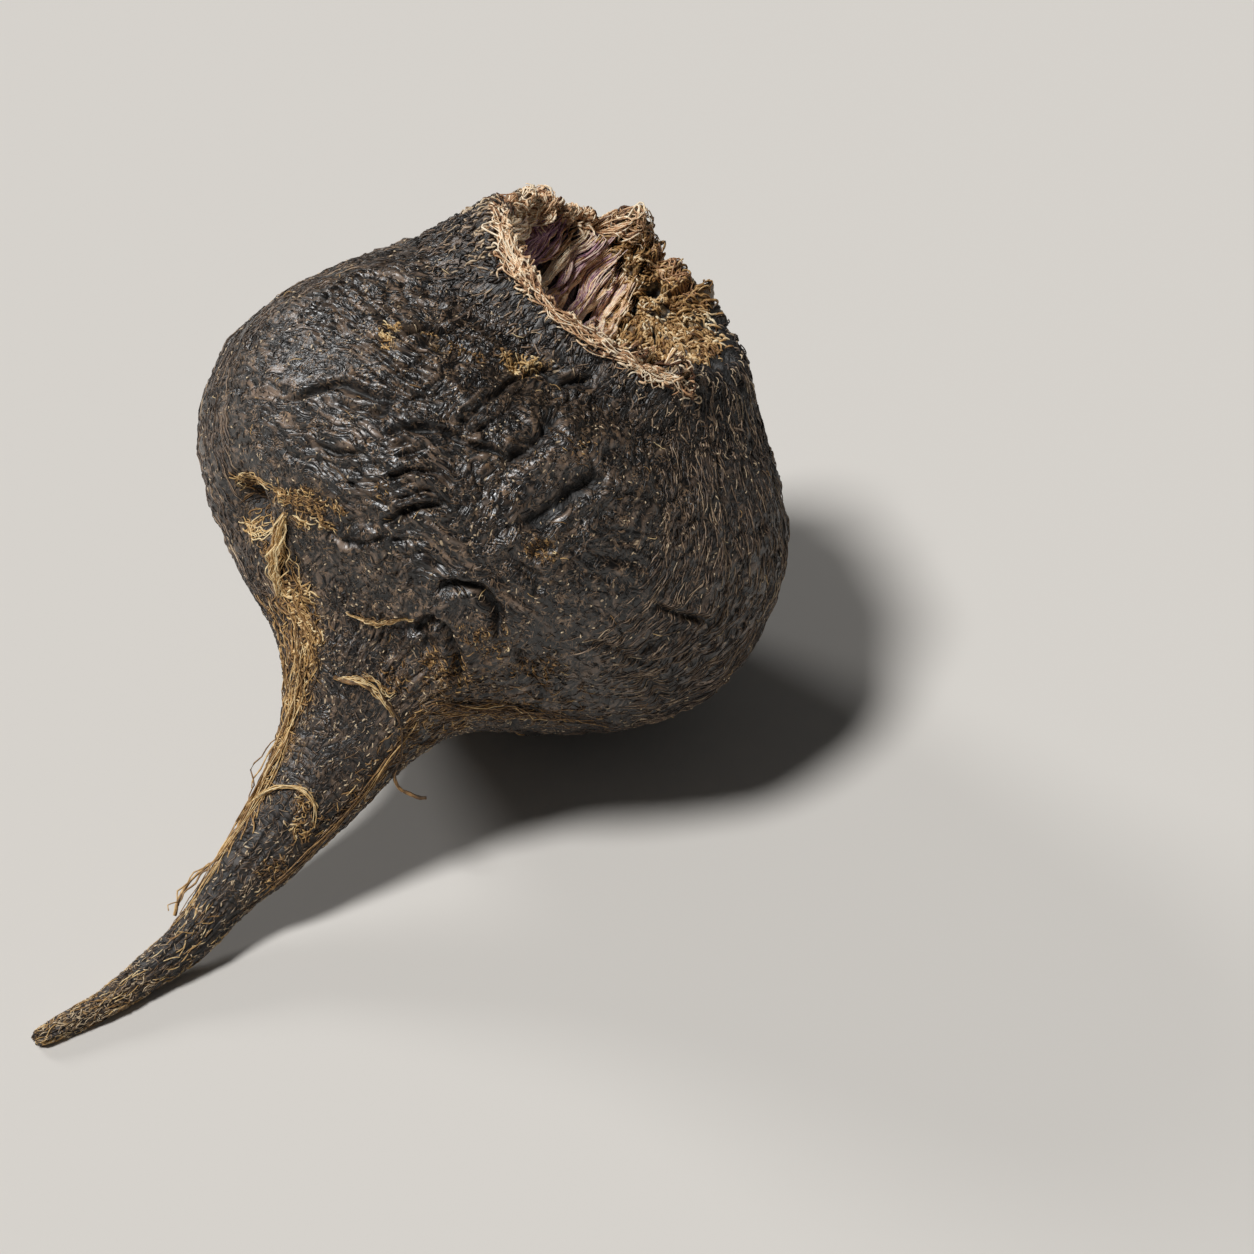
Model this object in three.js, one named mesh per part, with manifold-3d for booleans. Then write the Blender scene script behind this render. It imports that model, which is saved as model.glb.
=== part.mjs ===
// A whole black maca root, lying as it comes to rest: a squat lobed body, the dished crown that the
// leaves grew from, and a long tap root that bends over and comes down to the surface.
// Millimetres, +Z up, the surface at z = 0, the origin under the middle of the root's own box.

import * as THREE from 'three';
import { mergeVertices } from 'three/addons/utils/BufferGeometryUtils.js';
import Module from 'manifold-3d';

// Driving dimensions. Places are set out from the point of the surface that lies under the body's
// middle: +X to the right, +Y to the back.

const bodyRadius = 25;
const crown = { dishDepth: 6.5, dishRadius: 9.9, lipRadius: 11.4, collarRadius: 14.2 };
const neckRadius = 9;           // where the body gives way to the tap root
const tipRadius = 0.72;
const fineRootRadius = 0.4;
const boxMiddle = [-4.6, -13.22, 0];
const rows = 72;
const columns = 48;
const chordReach = 26;          // how far each way a section looks along the centre line to face it

// The centre line, from the crown's rim through the body to the tip of the tap root

const centreLine = new THREE.CatmullRomCurve3([
  [11.8, 1.5, 40], [6, 0.8, 31.4], [0.4, -1, 23.4], [-3.8, -7.4, 19], [-6.8, -14, 17],
  [-9.6, -21.9, 15.5], [-11.9, -25.3, 12.3], [-13.7, -27.4, 10], [-17.2, -31.4, 6.5],
  [-20.7, -34.8, 4], [-23.2, -38.1, 2.6], [-26.5, -41.1, 1.5], [-29.6, -44, 0.95],
  [-34.6, -47.7, 0.6],
].map((place) => new THREE.Vector3(...place)), false, 'catmullrom', 0.5);
centreLine.arcLengthDivisions = 2000;

// The outline that is carried round the centre line, as [distance along it, radius]

const outline = new THREE.SplineCurve([
  [crown.dishDepth, 0], [6.3, 4], [4.6, 7.6], [1.4, crown.dishRadius],
  [0, crown.lipRadius], [0.9, 12.9], [4, crown.collarRadius], [7, 15.8], [9.6, 18.4], [12.4, 21],
  [16.5, 23.6], [22, bodyRadius], [27.5, 24.2], [32.5, 21.4], [36.6, 17.4], [40, 12.9],
  [43.6, neckRadius], [47, 6.7], [50.5, 5.1], [54.5, 4], [59.5, 3.1], [64, 2.5], [69, 2],
  [74, 1.5], [80, 1.08], [85.2, tipRadius], [85.8, 0],
].map(([along, radius]) => new THREE.Vector2(along, radius)));
outline.arcLengthDivisions = 2000;

// Lobes and hollows of the skin: how far along the outline from the crown's middle, the angle round
// it in degrees, how far it spreads and how high it rises. Angle 0 is the root's upper left side,
// 90 its back, 180 its lower right and 270 its front.

const swells = [
  // the rim of the crown: a dip and a peak at the back, and the shoulder beside it
  { along: 14, angle: 12, spread: 3, rise: -0.5 },
  { along: 13.5, angle: 60, spread: 2.6, rise: -1.2 },
  { along: 14, angle: 84, spread: 2.4, rise: 2 },
  // the near side of the rim, worn lower, and the spongy mound inside the dish
  { along: 14, angle: 300, spread: 4.5, rise: -1.3 },
  { along: 14, angle: 262, spread: 4.5, rise: -1.1 },
  { along: 8.5, angle: 142, spread: 3.2, rise: 1.8 },
  { along: 21, angle: 12, spread: 4, rise: 0.5 },
  // the large lobes that set the body's outline
  { along: 36, angle: 8, spread: 8, rise: -2 },
  { along: 56, angle: 0, spread: 9, rise: 1 },
  { along: 26, angle: 192, spread: 9, rise: 3.4 },
  { along: 45, angle: 190, spread: 9, rise: 1.2 },
  // the front
  { along: 28, angle: 263, spread: 3.5, rise: 1 },
  { along: 30, angle: 300, spread: 3, rise: -0.6 },
  { along: 24, angle: 276, spread: 2.4, rise: -0.5 },
  { along: 40, angle: 296, spread: 5, rise: 0.6 },
  { along: 50, angle: 310, spread: 6, rise: 0.5 },
  { along: 48, angle: 266, spread: 4, rise: -0.5 },
  { along: 62, angle: 254, spread: 4, rise: 1.3 },
  { along: 67, angle: 264, spread: 2.6, rise: -0.9 },
  { along: 64, angle: 352, spread: 4, rise: 1.1 },
  { along: 59, angle: 336, spread: 2.6, rise: -1.4 },
  { along: 57, angle: 320, spread: 3, rise: 0.4 },
  // the back and the underside
  { along: 30, angle: 90, spread: 8, rise: 0.9 },
  { along: 40, angle: 50, spread: 7, rise: -0.7 },
  { along: 55, angle: 80, spread: 6, rise: 0.7 },
  { along: 46, angle: 112, spread: 5, rise: -0.6 },
  { along: 50, angle: 131, spread: 10, rise: 1 },
  { along: 66, angle: 130, spread: 4, rise: -0.6 },
  { along: 44, angle: 232, spread: 6, rise: 0.6 },
  { along: 33, angle: 226, spread: 5, rise: -0.6 },
  // the tap root's own unevenness
  { along: 80, angle: 200, spread: 4, rise: 0.4 },
  { along: 88, angle: 300, spread: 3, rise: 0.3 },
  { along: 93, angle: 120, spread: 3, rise: -0.25 },
];

// The two side roots that stand clear of the skin at their ends

const fineRoots = [
  [[-11.6, -25.8, 20], [-10.7, -26.8, 20.2], [-9.2, -27.2, 20.2], [-7.6, -27.7, 19.2],
    [-6.6, -28, 17.8], [-6.1, -28.1, 15.5], [-6.4, -28.1, 13.2], [-6.9, -28.4, 11.6],
    [-6.4, -28.7, 10.4], [-5.3, -29, 9.9], [-4.3, -29.1, 9.8]],
  [[-14.5, -25.5, 16.3], [-15.6, -27.1, 14.5], [-16.8, -28, 12.7], [-18.1, -29, 10.8],
    [-19.3, -30.1, 9.2], [-20.5, -31.5, 7.6], [-21.6, -32.7, 6.2], [-23.3, -33.7, 5.1],
    [-24.4, -35, 4], [-24.8, -35.8, 3]],
];

// A point of the centre line; past either end it runs on straight

function centreAt(distance) {
  const total = centreLine.getLength();
  const inside = THREE.MathUtils.clamp(distance / total, 0, 1);
  const beyond = distance - inside * total;
  return centreLine.getPointAt(inside).addScaledVector(centreLine.getTangentAt(inside), beyond);
}

// The smooth root before its lobes: a circle of the outline's radius round the centre line, in a
// plane square to a chord of it, so that the sections fan out evenly through the bend

const upperLeft = new THREE.Vector3(-0.82, 0.23, 0.5);

function smoothPoint(along, angle) {
  const { x: distance, y: radius } = outline.getPointAt(along / outline.getLength());
  const facing = centreAt(distance + chordReach).sub(centreAt(distance - chordReach)).normalize();
  const left = upperLeft.clone().addScaledVector(facing, -upperLeft.dot(facing)).normalize();
  const back = facing.clone().cross(left);
  return centreAt(distance)
    .addScaledVector(left, Math.max(radius, 0) * Math.cos(angle))
    .addScaledVector(back, Math.max(radius, 0) * Math.sin(angle));
}

function smoothNormal(along, angle) {
  const step = 0.05;
  const turn = 0.02;
  const inner = THREE.MathUtils.clamp(along, 5 * step, outline.getLength() - 5 * step);
  const lengthwise = smoothPoint(inner + step, angle).sub(smoothPoint(inner - step, angle));
  const crosswise = smoothPoint(inner, angle + turn).sub(smoothPoint(inner, angle - turn));
  return crosswise.cross(lengthwise).normalize();
}

const swellCentres = swells.map(({ along, angle }) => smoothPoint(along, angle * Math.PI / 180));

// Each swell falls away from its centre as a bell curve of the straight distance to it

function swellAt(point) {
  return swells.reduce((sum, { spread, rise }, index) => {
    const away = point.distanceTo(swellCentres[index]) / spread;
    return sum + rise * Math.exp(-away * away / 2);
  }, 0);
}

function skinPoint(along, angle) {
  const point = smoothPoint(along, angle);
  return point.addScaledVector(smoothNormal(along, angle), swellAt(point));
}

// The skin as one closed geometry: a pole at each end and rings of points between them

function rootGeometry() {
  const total = outline.getLength();
  const points = [skinPoint(0, 0)];
  for (let row = 1; row < rows; row += 1) {
    for (let column = 0; column < columns; column += 1) {
      points.push(skinPoint(total * row / rows, 2 * Math.PI * column / columns));
    }
  }
  const tip = points.push(skinPoint(total, 0)) - 1;
  const at = (row, column) => 1 + row * columns + column % columns;
  const faces = [];
  for (let column = 0; column < columns; column += 1) {
    faces.push(0, at(0, column + 1), at(0, column));
    for (let row = 0; row < rows - 2; row += 1) {
      const corners = [at(row, column), at(row, column + 1), at(row + 1, column), at(row + 1, column + 1)];
      faces.push(corners[0], corners[1], corners[2], corners[1], corners[3], corners[2]);
    }
    faces.push(at(rows - 2, column), at(rows - 2, column + 1), tip);
  }
  const geometry = new THREE.BufferGeometry().setFromPoints(points);
  geometry.setIndex(faces);
  return geometry;
}

function fineRootGeometry(places) {
  const path = new THREE.CatmullRomCurve3(places.map((place) => new THREE.Vector3(...place)));
  const section = new THREE.Shape().absarc(0, 0, fineRootRadius, 0, 2 * Math.PI);
  return new THREE.ExtrudeGeometry(section, {
    extrudePath: path, steps: 2 * places.length, curveSegments: 8, bevelEnabled: false,
  });
}

// Joins and cuts, as solids

const wasm = await Module();
wasm.setup();

function toSolid(geometry) {
  const bare = geometry.clone();
  bare.deleteAttribute('normal');
  bare.deleteAttribute('uv');
  const merged = mergeVertices(bare, 1e-4);
  return new wasm.Manifold(new wasm.Mesh({
    numProp: 3,
    vertProperties: new Float32Array(merged.attributes.position.array),
    triVerts: new Uint32Array(merged.index.array),
  }));
}

function toGeometry(solid) {
  const { vertProperties, triVerts } = solid.getMesh();
  const geometry = new THREE.BufferGeometry();
  geometry.setAttribute('position', new THREE.BufferAttribute(new Float32Array(vertProperties), 3));
  geometry.setIndex(new THREE.BufferAttribute(new Uint32Array(triVerts), 1));
  return geometry;
}

// Everything below the surface, which takes a sliver off the underside and leaves it a flat to lie on

function underside() {
  const size = 200;
  return new THREE.BoxGeometry(size, size, size).translate(0, 0, -size / 2);
}

function makeRoot() {
  const whole = fineRoots.reduce(
    (solid, places) => solid.add(toSolid(fineRootGeometry(places))),
    toSolid(rootGeometry()),
  );
  const geometry = toGeometry(whole.subtract(toSolid(underside())));
  geometry.translate(-boxMiddle[0], -boxMiddle[1], -boxMiddle[2]);
  geometry.computeVertexNormals();
  const skin = new THREE.MeshStandardMaterial({ color: 0x2b2623, roughness: 0.62, metalness: 0 });
  const root = new THREE.Mesh(geometry, skin);
  root.name = 'maca_root';
  return root;
}

const group = new THREE.Group();
group.add(makeRoot());

export default group;
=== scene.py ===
import functools
import math
import bpy
import numpy as np
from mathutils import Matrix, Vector


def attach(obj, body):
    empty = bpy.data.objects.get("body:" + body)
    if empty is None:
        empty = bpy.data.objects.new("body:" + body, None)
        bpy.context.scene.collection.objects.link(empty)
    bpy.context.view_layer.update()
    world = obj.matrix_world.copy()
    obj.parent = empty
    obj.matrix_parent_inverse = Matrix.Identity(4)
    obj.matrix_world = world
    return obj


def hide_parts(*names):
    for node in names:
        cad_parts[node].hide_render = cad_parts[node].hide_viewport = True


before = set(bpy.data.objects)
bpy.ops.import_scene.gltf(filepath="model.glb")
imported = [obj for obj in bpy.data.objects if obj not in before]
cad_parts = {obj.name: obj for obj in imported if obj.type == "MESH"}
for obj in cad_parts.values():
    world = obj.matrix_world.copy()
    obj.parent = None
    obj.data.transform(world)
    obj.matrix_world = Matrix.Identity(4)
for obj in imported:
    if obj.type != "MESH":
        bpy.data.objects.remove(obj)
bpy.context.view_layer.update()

millimetre = 0.001
print("stage: frame loaded")

# The whole root's form, in millimetres from the point of the table under the body's middle.
# along = distance along the outline from the crown's middle; angle = degrees round it, with 0 at the
# root's upper left, 90 at its back, 180 at its lower right and 270 at its front.
rootForm = {
    "centreLine": [(11.8, 1.5, 40), (6, 0.8, 31.4), (0.4, -1, 23.4), (-3.8, -7.4, 19), (-6.8, -14, 17),
                   (-9.6, -21.9, 15.5), (-11.9, -25.3, 12.3), (-13.7, -27.4, 10), (-17.2, -31.4, 6.5),
                   (-20.7, -34.8, 4), (-23.2, -38.1, 2.6), (-26.5, -41.1, 1.5), (-29.6, -44, 0.95),
                   (-34.6, -47.7, 0.6)],
    "outline": [(6.5, 0), (6.3, 4), (4.6, 7.6), (1.4, 9.9), (0, 11.4), (0.9, 12.9), (4, 14.2), (7, 15.8),
                (9.6, 18.4), (12.4, 21), (16.5, 23.6), (22, 25), (27.5, 24.2), (32.5, 21.4), (36.6, 17.4),
                (40, 12.9), (43.6, 9), (47, 6.7), (50.5, 5.1), (54.5, 4), (59.5, 3.1), (64, 2.5), (69, 2),
                (74, 1.5), (80, 1.08), (85.2, 0.72), (85.8, 0)],
    "upperLeft": (-0.82, 0.23, 0.5),
    "chordReach": 26.0,
    "samples": 4000,
    # the centre line's samples where the squat body begins and ends
    "bodySamples": (300, 2200),
    "aboveTable": 0.02,
    "boxMiddle": (-4.6, -13.22, 0),
    # along, angle, spread, rise
    "swells": [(14, 12, 3, -0.5), (13.5, 60, 2.6, -1.2), (14, 84, 2.4, 2), (21, 12, 4, 0.5), (36, 8, 8, -2),
               (56, 0, 9, 1), (26, 192, 9, 3.4), (45, 190, 9, 1.2), (28, 263, 3.5, 1), (30, 300, 3, -0.6),
               (24, 276, 2.4, -0.5), (40, 296, 5, 0.6), (50, 310, 6, 0.5), (48, 266, 4, -0.5),
               (62, 254, 4, 1.3), (67, 264, 2.6, -0.9), (64, 352, 4, 1.1), (59, 336, 2.6, -1.4),
               (57, 320, 3, 0.4), (30, 90, 8, 0.9), (40, 50, 7, -0.7), (55, 80, 6, 0.7), (46, 112, 5, -0.6),
               (50, 131, 10, 1), (66, 130, 4, -0.6), (44, 232, 6, 0.6), (33, 226, 5, -0.6),
               (80, 200, 4, 0.4), (88, 300, 3, 0.3), (93, 120, 3, -0.25),
               (14, 300, 4.5, -1.3), (14, 262, 4.5, -1.1), (8.5, 142, 3.2, 1.8)],
}


def catmullRom(stops, count, runOn):
    # A Catmull-Rom curve through the stops, sampled evenly in its parameter. With runOn the end
    # tangents follow the first and last steps; without it the end stops count twice.
    stops = np.asarray(stops, float)
    if runOn:
        ends = 2 * stops[[0, -1]] - stops[[1, -2]]
    else:
        ends = stops[[0, -1]]
    held = np.vstack([ends[:1], stops, ends[1:]])
    place = np.linspace(0, len(stops) - 1, count)
    first = np.minimum(place.astype(int), len(stops) - 2)
    t = (place - first)[:, None]
    p0, p1, p2, p3 = (held[first + k] for k in range(4))
    v1, v2 = (p2 - p0) / 2, (p3 - p1) / 2
    return (2 * p1 - 2 * p2 + v1 + v2) * t**3 + (3 * p2 - 3 * p1 - 2 * v1 - v2) * t**2 + v1 * t + p1


def distanceAlong(samples):
    # The running sum of the steps between neighbours, from 0.
    steps = np.linalg.norm(np.diff(samples, axis=0), axis=1)
    return np.concatenate([[0], np.cumsum(steps)])


centreSamples = catmullRom(rootForm["centreLine"], rootForm["samples"], True)
centreLength = distanceAlong(centreSamples)
outlineSamples = catmullRom(rootForm["outline"], rootForm["samples"], False)
outlineLength = distanceAlong(outlineSamples)
rootLength = outlineLength[-1]


def unit(vectors):
    # Each vector over its own length.
    return vectors / np.maximum(np.linalg.norm(vectors, axis=-1, keepdims=True), 1e-12)


# The turn that stands the body's own length upright, for wrinkles that run round it
bodyTop, bodyFoot = (centreSamples[k] for k in rootForm["bodySamples"])
bodyTurn = Vector(bodyFoot - bodyTop).rotation_difference(Vector((0, 0, 1))).to_euler()


def centreAt(distance):
    # The centre line by distance; past either end it runs on straight.
    inside = np.stack([np.interp(distance, centreLength, centreSamples[:, k]) for k in range(3)], -1)
    before = np.minimum(distance, 0)[..., None] * unit(centreSamples[1] - centreSamples[0])
    past = np.maximum(distance - centreLength[-1], 0)[..., None]
    after = past * unit(centreSamples[-1] - centreSamples[-2])
    return inside + before + after


def smoothPoint(along, angle):
    # A circle of the outline's radius round the centre line, in a plane square to the chord that
    # reaches chordReach each way. angle in radians.
    distance = np.interp(along, outlineLength, outlineSamples[:, 0])
    radius = np.maximum(np.interp(along, outlineLength, outlineSamples[:, 1]), 0)[..., None]
    reach = rootForm["chordReach"]
    facing = unit(centreAt(distance + reach) - centreAt(distance - reach))
    aim = np.array(rootForm["upperLeft"])
    left = unit(aim - (facing @ aim)[..., None] * facing)
    back = np.cross(facing, left)
    return centreAt(distance) + radius * (np.cos(angle)[..., None] * left + np.sin(angle)[..., None] * back)


def smoothNormal(along, angle):
    # Across the surface: the lengthwise and crosswise differences, crossed.
    step, turn = 0.05, 0.02
    inner = np.clip(along, 5 * step, rootLength - 5 * step)
    lengthwise = smoothPoint(inner + step, angle) - smoothPoint(inner - step, angle)
    crosswise = smoothPoint(inner, angle + turn) - smoothPoint(inner, angle - turn)
    return unit(np.cross(crosswise, lengthwise))


def spot(along, degrees):
    # One named place on the smooth root.
    return smoothPoint(np.array(float(along)), np.radians(float(degrees)))


def bell(distance, spread):
    # exp(-distance^2 / (2 spread^2)), which is 1 in the middle.
    return np.exp(-0.5 * (distance / spread) ** 2)


def smoothStep(value, low, high):
    # 0 below low, 1 above high, and t^2 (3 - 2t) between them.
    t = np.clip((value - low) / (high - low), 0, 1)
    return t * t * (3 - 2 * t)


noiseSlopes = unit(np.random.default_rng(5).normal(size=(1024, 3)))


def latticeNoise(points, seed):
    # Gradient noise, about -1 to 1: each whole-number corner has its own slope, and the eight round
    # a point are mixed by 6t^5 - 15t^4 + 10t^3 of its place between them.
    cell = np.floor(points).astype(np.int64)
    part = points - cell
    ease = part**3 * (part * (part * 6 - 15) + 10)
    total = np.zeros(points.shape[:-1])
    for corner in np.ndindex(2, 2, 2):
        where = cell + corner
        mixed = where[..., 0] * 73856093 ^ where[..., 1] * 19349663 ^ where[..., 2] * 83492791 ^ seed * 7919
        slope = noiseSlopes[(mixed ^ mixed >> 11) & 1023]
        weight = np.prod(np.where(corner, ease, 1 - ease), axis=-1)
        total += weight * ((part - corner) * slope).sum(-1)
    return 1.7 * total


def layeredNoise(points, seed, layers=3):
    # Each layer has twice the detail and half the height of the one before.
    return sum(latticeNoise(points * 2**k, seed + k) / 2**k for k in range(layers))


# Folds of the skin: half width and depth in mm, then where each runs as (along, angle) stops.
# A depth below zero is a ridge.
skinFolds = {
    "lip": 0.32,
    "folds": [
        # the upper left shoulder
        (0.4, 0.65, [(41, 325), (37, 325), (35, 327), (32.5, 330), (30.5, 334), (28, 335), (25.5, 328)]),
        (0.35, 0.5, [(27, 332), (26, 329), (25, 324), (24, 322), (22, 320)]),
        (0.35, 0.6, [(35, 322), (34.5, 318), (34, 316), (32.5, 315)]),
        (0.35, 0.45, [(36, 320), (37.5, 319), (38.5, 318), (39.5, 315)]),
        (0.5, 1.1, [(46, 316), (45, 312), (44, 310), (42.5, 307), (42, 304), (41.5, 299), (41, 294)]),
        (0.4, 0.7, [(44, 304), (43.5, 300), (43, 297), (42, 294)]),
        (0.35, 0.4, [(48, 311), (47, 306), (46, 302), (45, 299)]),
        (0.5, 0.4, [(47, 306), (49, 307), (50, 304)]),
        (0.4, 0.45, [(29, 316), (27, 318), (26, 315), (24, 311)]),
        (0.3, 0.4, [(30, 325), (31, 322), (30, 319)]),
        # lengthwise down the middle of the front
        (0.3, 0.5, [(40, 298), (37.5, 298), (35, 298), (32.5, 298), (30.5, 298)]),
        (0.3, 0.4, [(41.5, 292), (40, 292), (38, 290), (36, 289)]),
        (0.3, 0.4, [(38.5, 291), (35.5, 291), (32.5, 292)]),
        (0.3, 0.4, [(37.5, 288), (35, 287), (32.5, 287), (30.5, 287)]),
        (0.35, 0.7, [(23.5, 281), (26, 282), (29, 282), (32, 282), (35, 282), (38, 282), (39, 284)]),
        (0.32, 0.5, [(29.5, 278), (32.5, 278), (35, 278), (37.5, 279), (39.5, 280)]),
        (0.4, 0.5, [(23, 270), (24, 268), (26, 268), (27.5, 269)]),
        (1.1, 1.0, [(27, 269), (30, 269), (33, 269), (35.5, 270), (38, 271), (41, 271)]),
        (0.35, -0.4, [(31, 284), (34, 284.5), (37, 284), (39, 283)]),
        # across it: two bold ones under the crown, then the waves
        (0.5, 1.2, [(33, 306), (30.5, 306), (28, 306), (26, 303), (25, 298), (25, 292), (24.5, 286)]),
        (0.65, 1.3, [(24, 282), (23, 280), (22.5, 277), (22.5, 273), (21.5, 268), (20.5, 263)]),
        (0.5, -0.45, [(34, 302), (31, 303), (29, 303), (28, 300), (27.5, 296), (27, 292)]),
        (0.4, 1.0, [(44, 293), (42.5, 290), (41.5, 287), (40.5, 283), (40.5, 279), (39.5, 275), (39.5, 271)]),
        (0.3, 0.45, [(45.5, 291), (43.5, 289), (42, 287)]),
        (0.3, 0.6, [(46, 290), (44.5, 287), (43, 285), (42, 282), (42, 278)]),
        (0.4, 1.0, [(48.5, 290), (46.5, 287), (45.5, 284), (45, 281), (45.5, 278)]),
        (0.4, 0.7, [(49, 307), (48.5, 303), (48, 299), (47, 295)]),
        (0.3, 0.45, [(52, 300), (51, 297), (50, 293), (48.5, 290), (47, 288)]),
        (0.35, 0.6, [(50.5, 288), (49, 285), (47.5, 282), (47.5, 279), (48, 276)]),
        (0.45, 1.1, [(54, 288), (52, 286), (50, 283), (49, 281), (48, 277)]),
        (0.4, 0.55, [(58, 304), (58.5, 300), (58, 295), (57, 290), (54.5, 287)]),
        (0.3, 0.4, [(56.5, 286), (55, 284), (54, 281), (53, 277)]),
        (0.4, 0.5, [(57, 281), (55.5, 279), (55, 276), (55.5, 272)]),
        # the valley at the lower right of the front, and the ridge beside it
        (2.0, 0.95, [(32.5, 253), (36, 257), (40, 259), (43, 261), (45, 264)]),
        (0.8, -0.55, [(31, 249), (34.5, 252), (38, 255), (41, 257), (44.5, 260), (48, 264), (51.5, 266)]),
        (0.6, 0.6, [(49.5, 260), (49, 257), (49.5, 254), (51, 252)]),
        # the lower front, round the lobe beside the neck
        (0.6, 1.2, [(58.5, 270), (56.5, 268), (55, 264), (55, 259), (56, 254), (58, 250)]),
        (0.7, 1.3, [(65, 268), (62, 266), (61.5, 261), (63, 254), (64.5, 248), (66.5, 240)]),
        (0.8, 0.7, [(66, 275), (65, 269), (65, 262), (67, 256)]),
        (0.45, 0.5, [(58.5, 245), (58, 241), (58.5, 238), (57.5, 235)]),
    ],
    # torn holes: along, angle, radius, depth
    "pits": [(58.3, 334, 2.2, 2.2), (34, 306.5, 0.8, 0.6), (24, 284, 0.9, 0.6), (60.5, 334, 0.7, 0.6),
             (46, 257.5, 0.8, 0.4), (68.5, 321, 0.6, 0.4), (33, 60, 1.0, 0.8), (56, 112, 1.2, 0.9)],
    "strength": 0.9,
    "narrow": 0.62,
    # how far noise bends a fold and changes its width, and how far apart
    "bend": 0.24,
    "bendSpacing": 1.7,
    "wander": 0.4,
    "wanderSpacing": 1.8,
    # the folds nobody sees: where they start, a step along and round, and their half widths and depths
    "unseenCount": 46,
    "unseenZone": [(22, 66), (-5, 225)],
    "unseenStep": (1.8, 5.5),
    "unseenTurn": 0.45,
    "unseenWidth": (0.4, 0.8),
    "unseenDepth": (0.35, 0.9),
    "unseenSeed": 11,
}


def unseenFolds():
    # The back and underside get folds of the same kind: each starts at random and wanders for
    # three or four steps, mostly round the body.
    look = skinFolds
    rng = np.random.default_rng(look["unseenSeed"])
    stepAlong, stepAngle = look["unseenStep"]
    made = []
    for _ in range(look["unseenCount"]):
        along, angle = (rng.uniform(*ends) for ends in look["unseenZone"])
        heading = rng.normal(0, 0.5) + rng.choice([0.1, 1.2], p=[0.7, 0.3])
        stops = []
        for _ in range(rng.integers(4, 6)):
            stops.append((along, angle))
            along += stepAlong * math.sin(heading)
            angle += stepAngle * math.cos(heading)
            heading += rng.normal(0, look["unseenTurn"])
        made.append((rng.uniform(*look["unseenWidth"]), rng.uniform(*look["unseenDepth"]), stops))
    return made


allFolds = skinFolds["folds"] + unseenFolds()


def foldCourse(stops):
    # A fold's stops as a smooth chain of points on the root, six to each step.
    course = catmullRom(stops, 6 * (len(stops) - 1) + 1, True)
    return smoothPoint(course[:, 0], np.radians(course[:, 1]))


def distanceToCourse(points, course):
    # The shortest distance from each point to the chain of straight pieces, and how far along it.
    best = np.full(len(points), 1e9)
    share = np.zeros(len(points))
    for k in range(len(course) - 1):
        run = course[k + 1] - course[k]
        t = np.clip((points - course[k]) @ run / (run @ run), 0, 1)
        away = np.linalg.norm(points - course[k] - t[:, None] * run, axis=1)
        nearer = away < best
        best[nearer] = away[nearer]
        share[nearer] = (k + t[nearer]) / (len(course) - 1)
    return best, share


def foldHeight(points):
    # Each fold is a cut, -exp(-(distance / width)^1.5), with a low bell-shaped lip on both sides. It
    # dies out at its ends, and noise bends it a little. A pit is -depth exp(-(distance / radius)^4).
    look = skinFolds
    flat = points.reshape(-1, 3)
    bend = np.stack([latticeNoise(flat / look["bendSpacing"], 33 + k) for k in range(3)], -1)
    flat = flat + look["bend"] * bend
    height = np.zeros(len(flat))
    for along, angle, radius, depth in look["pits"]:
        height -= depth * np.exp(-((np.linalg.norm(flat - spot(along, angle), axis=1) / radius) ** 4))
    for width, depth, stops in allFolds:
        width = look["narrow"] * width
        course = foldCourse(stops)
        margin = 5 * width
        close = np.all((flat > course.min(0) - margin) & (flat < course.max(0) + margin), axis=1)
        away, share = distanceToCourse(flat[close], course)
        wander = 1 + look["wander"] * latticeNoise(flat[close] / look["wanderSpacing"], 31)
        fade = np.clip(7 * share * (1 - share), 0, 1) ** 0.6
        cut = -np.exp(-((away / (width * wander)) ** 1.5))
        lip = look["lip"] * bell(away - 2.2 * width, 0.9 * width)
        height[close] += look["strength"] * depth * fade * (cut + lip) * (1.6 - 0.6 * wander)
    return height.reshape(points.shape[:-1])


# Wrinkles between the folds: long pillows with sharp valleys, from noise that is drawn out along them
skinWrinkles = {
    "spacing": 1.9,
    "drawnOut": 4.2,
    "height": 0.95,
    "creaseSpacing": 0.85,
    "creaseHeight": 0.42,
    "fineSpacing": 0.9,
    "fineHeight": 0.03,
    "wander": 1.5,
    "wanderSpacing": 5,
    "girth": 20.0,
    "tapStreak": 0.3,
    "tapGirth": 3.0,
    "tapDrawnOut": 7,
    # between which places along the root each comes in, and goes
    "bodyFrom": (17, 24),
    "bodyTo": (66, 80),
    "fineFrom": (12, 18),
    "fineTo": (92, 112),
    "tapFrom": (70, 84),
}


def girthPlace(along, angle, girth):
    # The skin rolled on to a cylinder of one radius, so that noise on it has no seam.
    return np.stack([girth * np.cos(angle), girth * np.sin(angle), along + 0 * angle], -1)


def pillows(noise):
    # Rounded ridges with sharp valleys where the noise passes zero.
    return np.sqrt(np.abs(noise) + 0.002) - 0.5


def near(points, place, spread):
    # A bell of the distance from one place.
    return bell(np.linalg.norm(points - place, axis=-1), spread)


def lengthwiseShare(base):
    # Where wrinkles run down the body and not round it: the middle front, the right and the neck.
    return (near(base, spot(33, 276), 6) + near(base, spot(36, 215), 12)
            + near(base, spot(66, 290), 7) - 0.8 * near(base, spot(47, 290), 6) - 0.15)


def grainMix(base, rolled):
    # 0 where wrinkles run round the body and 1 where they run down it, with noise between.
    return smoothStep(latticeNoise(rolled / 13, 17) + lengthwiseShare(base), -0.15, 0.3)


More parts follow.
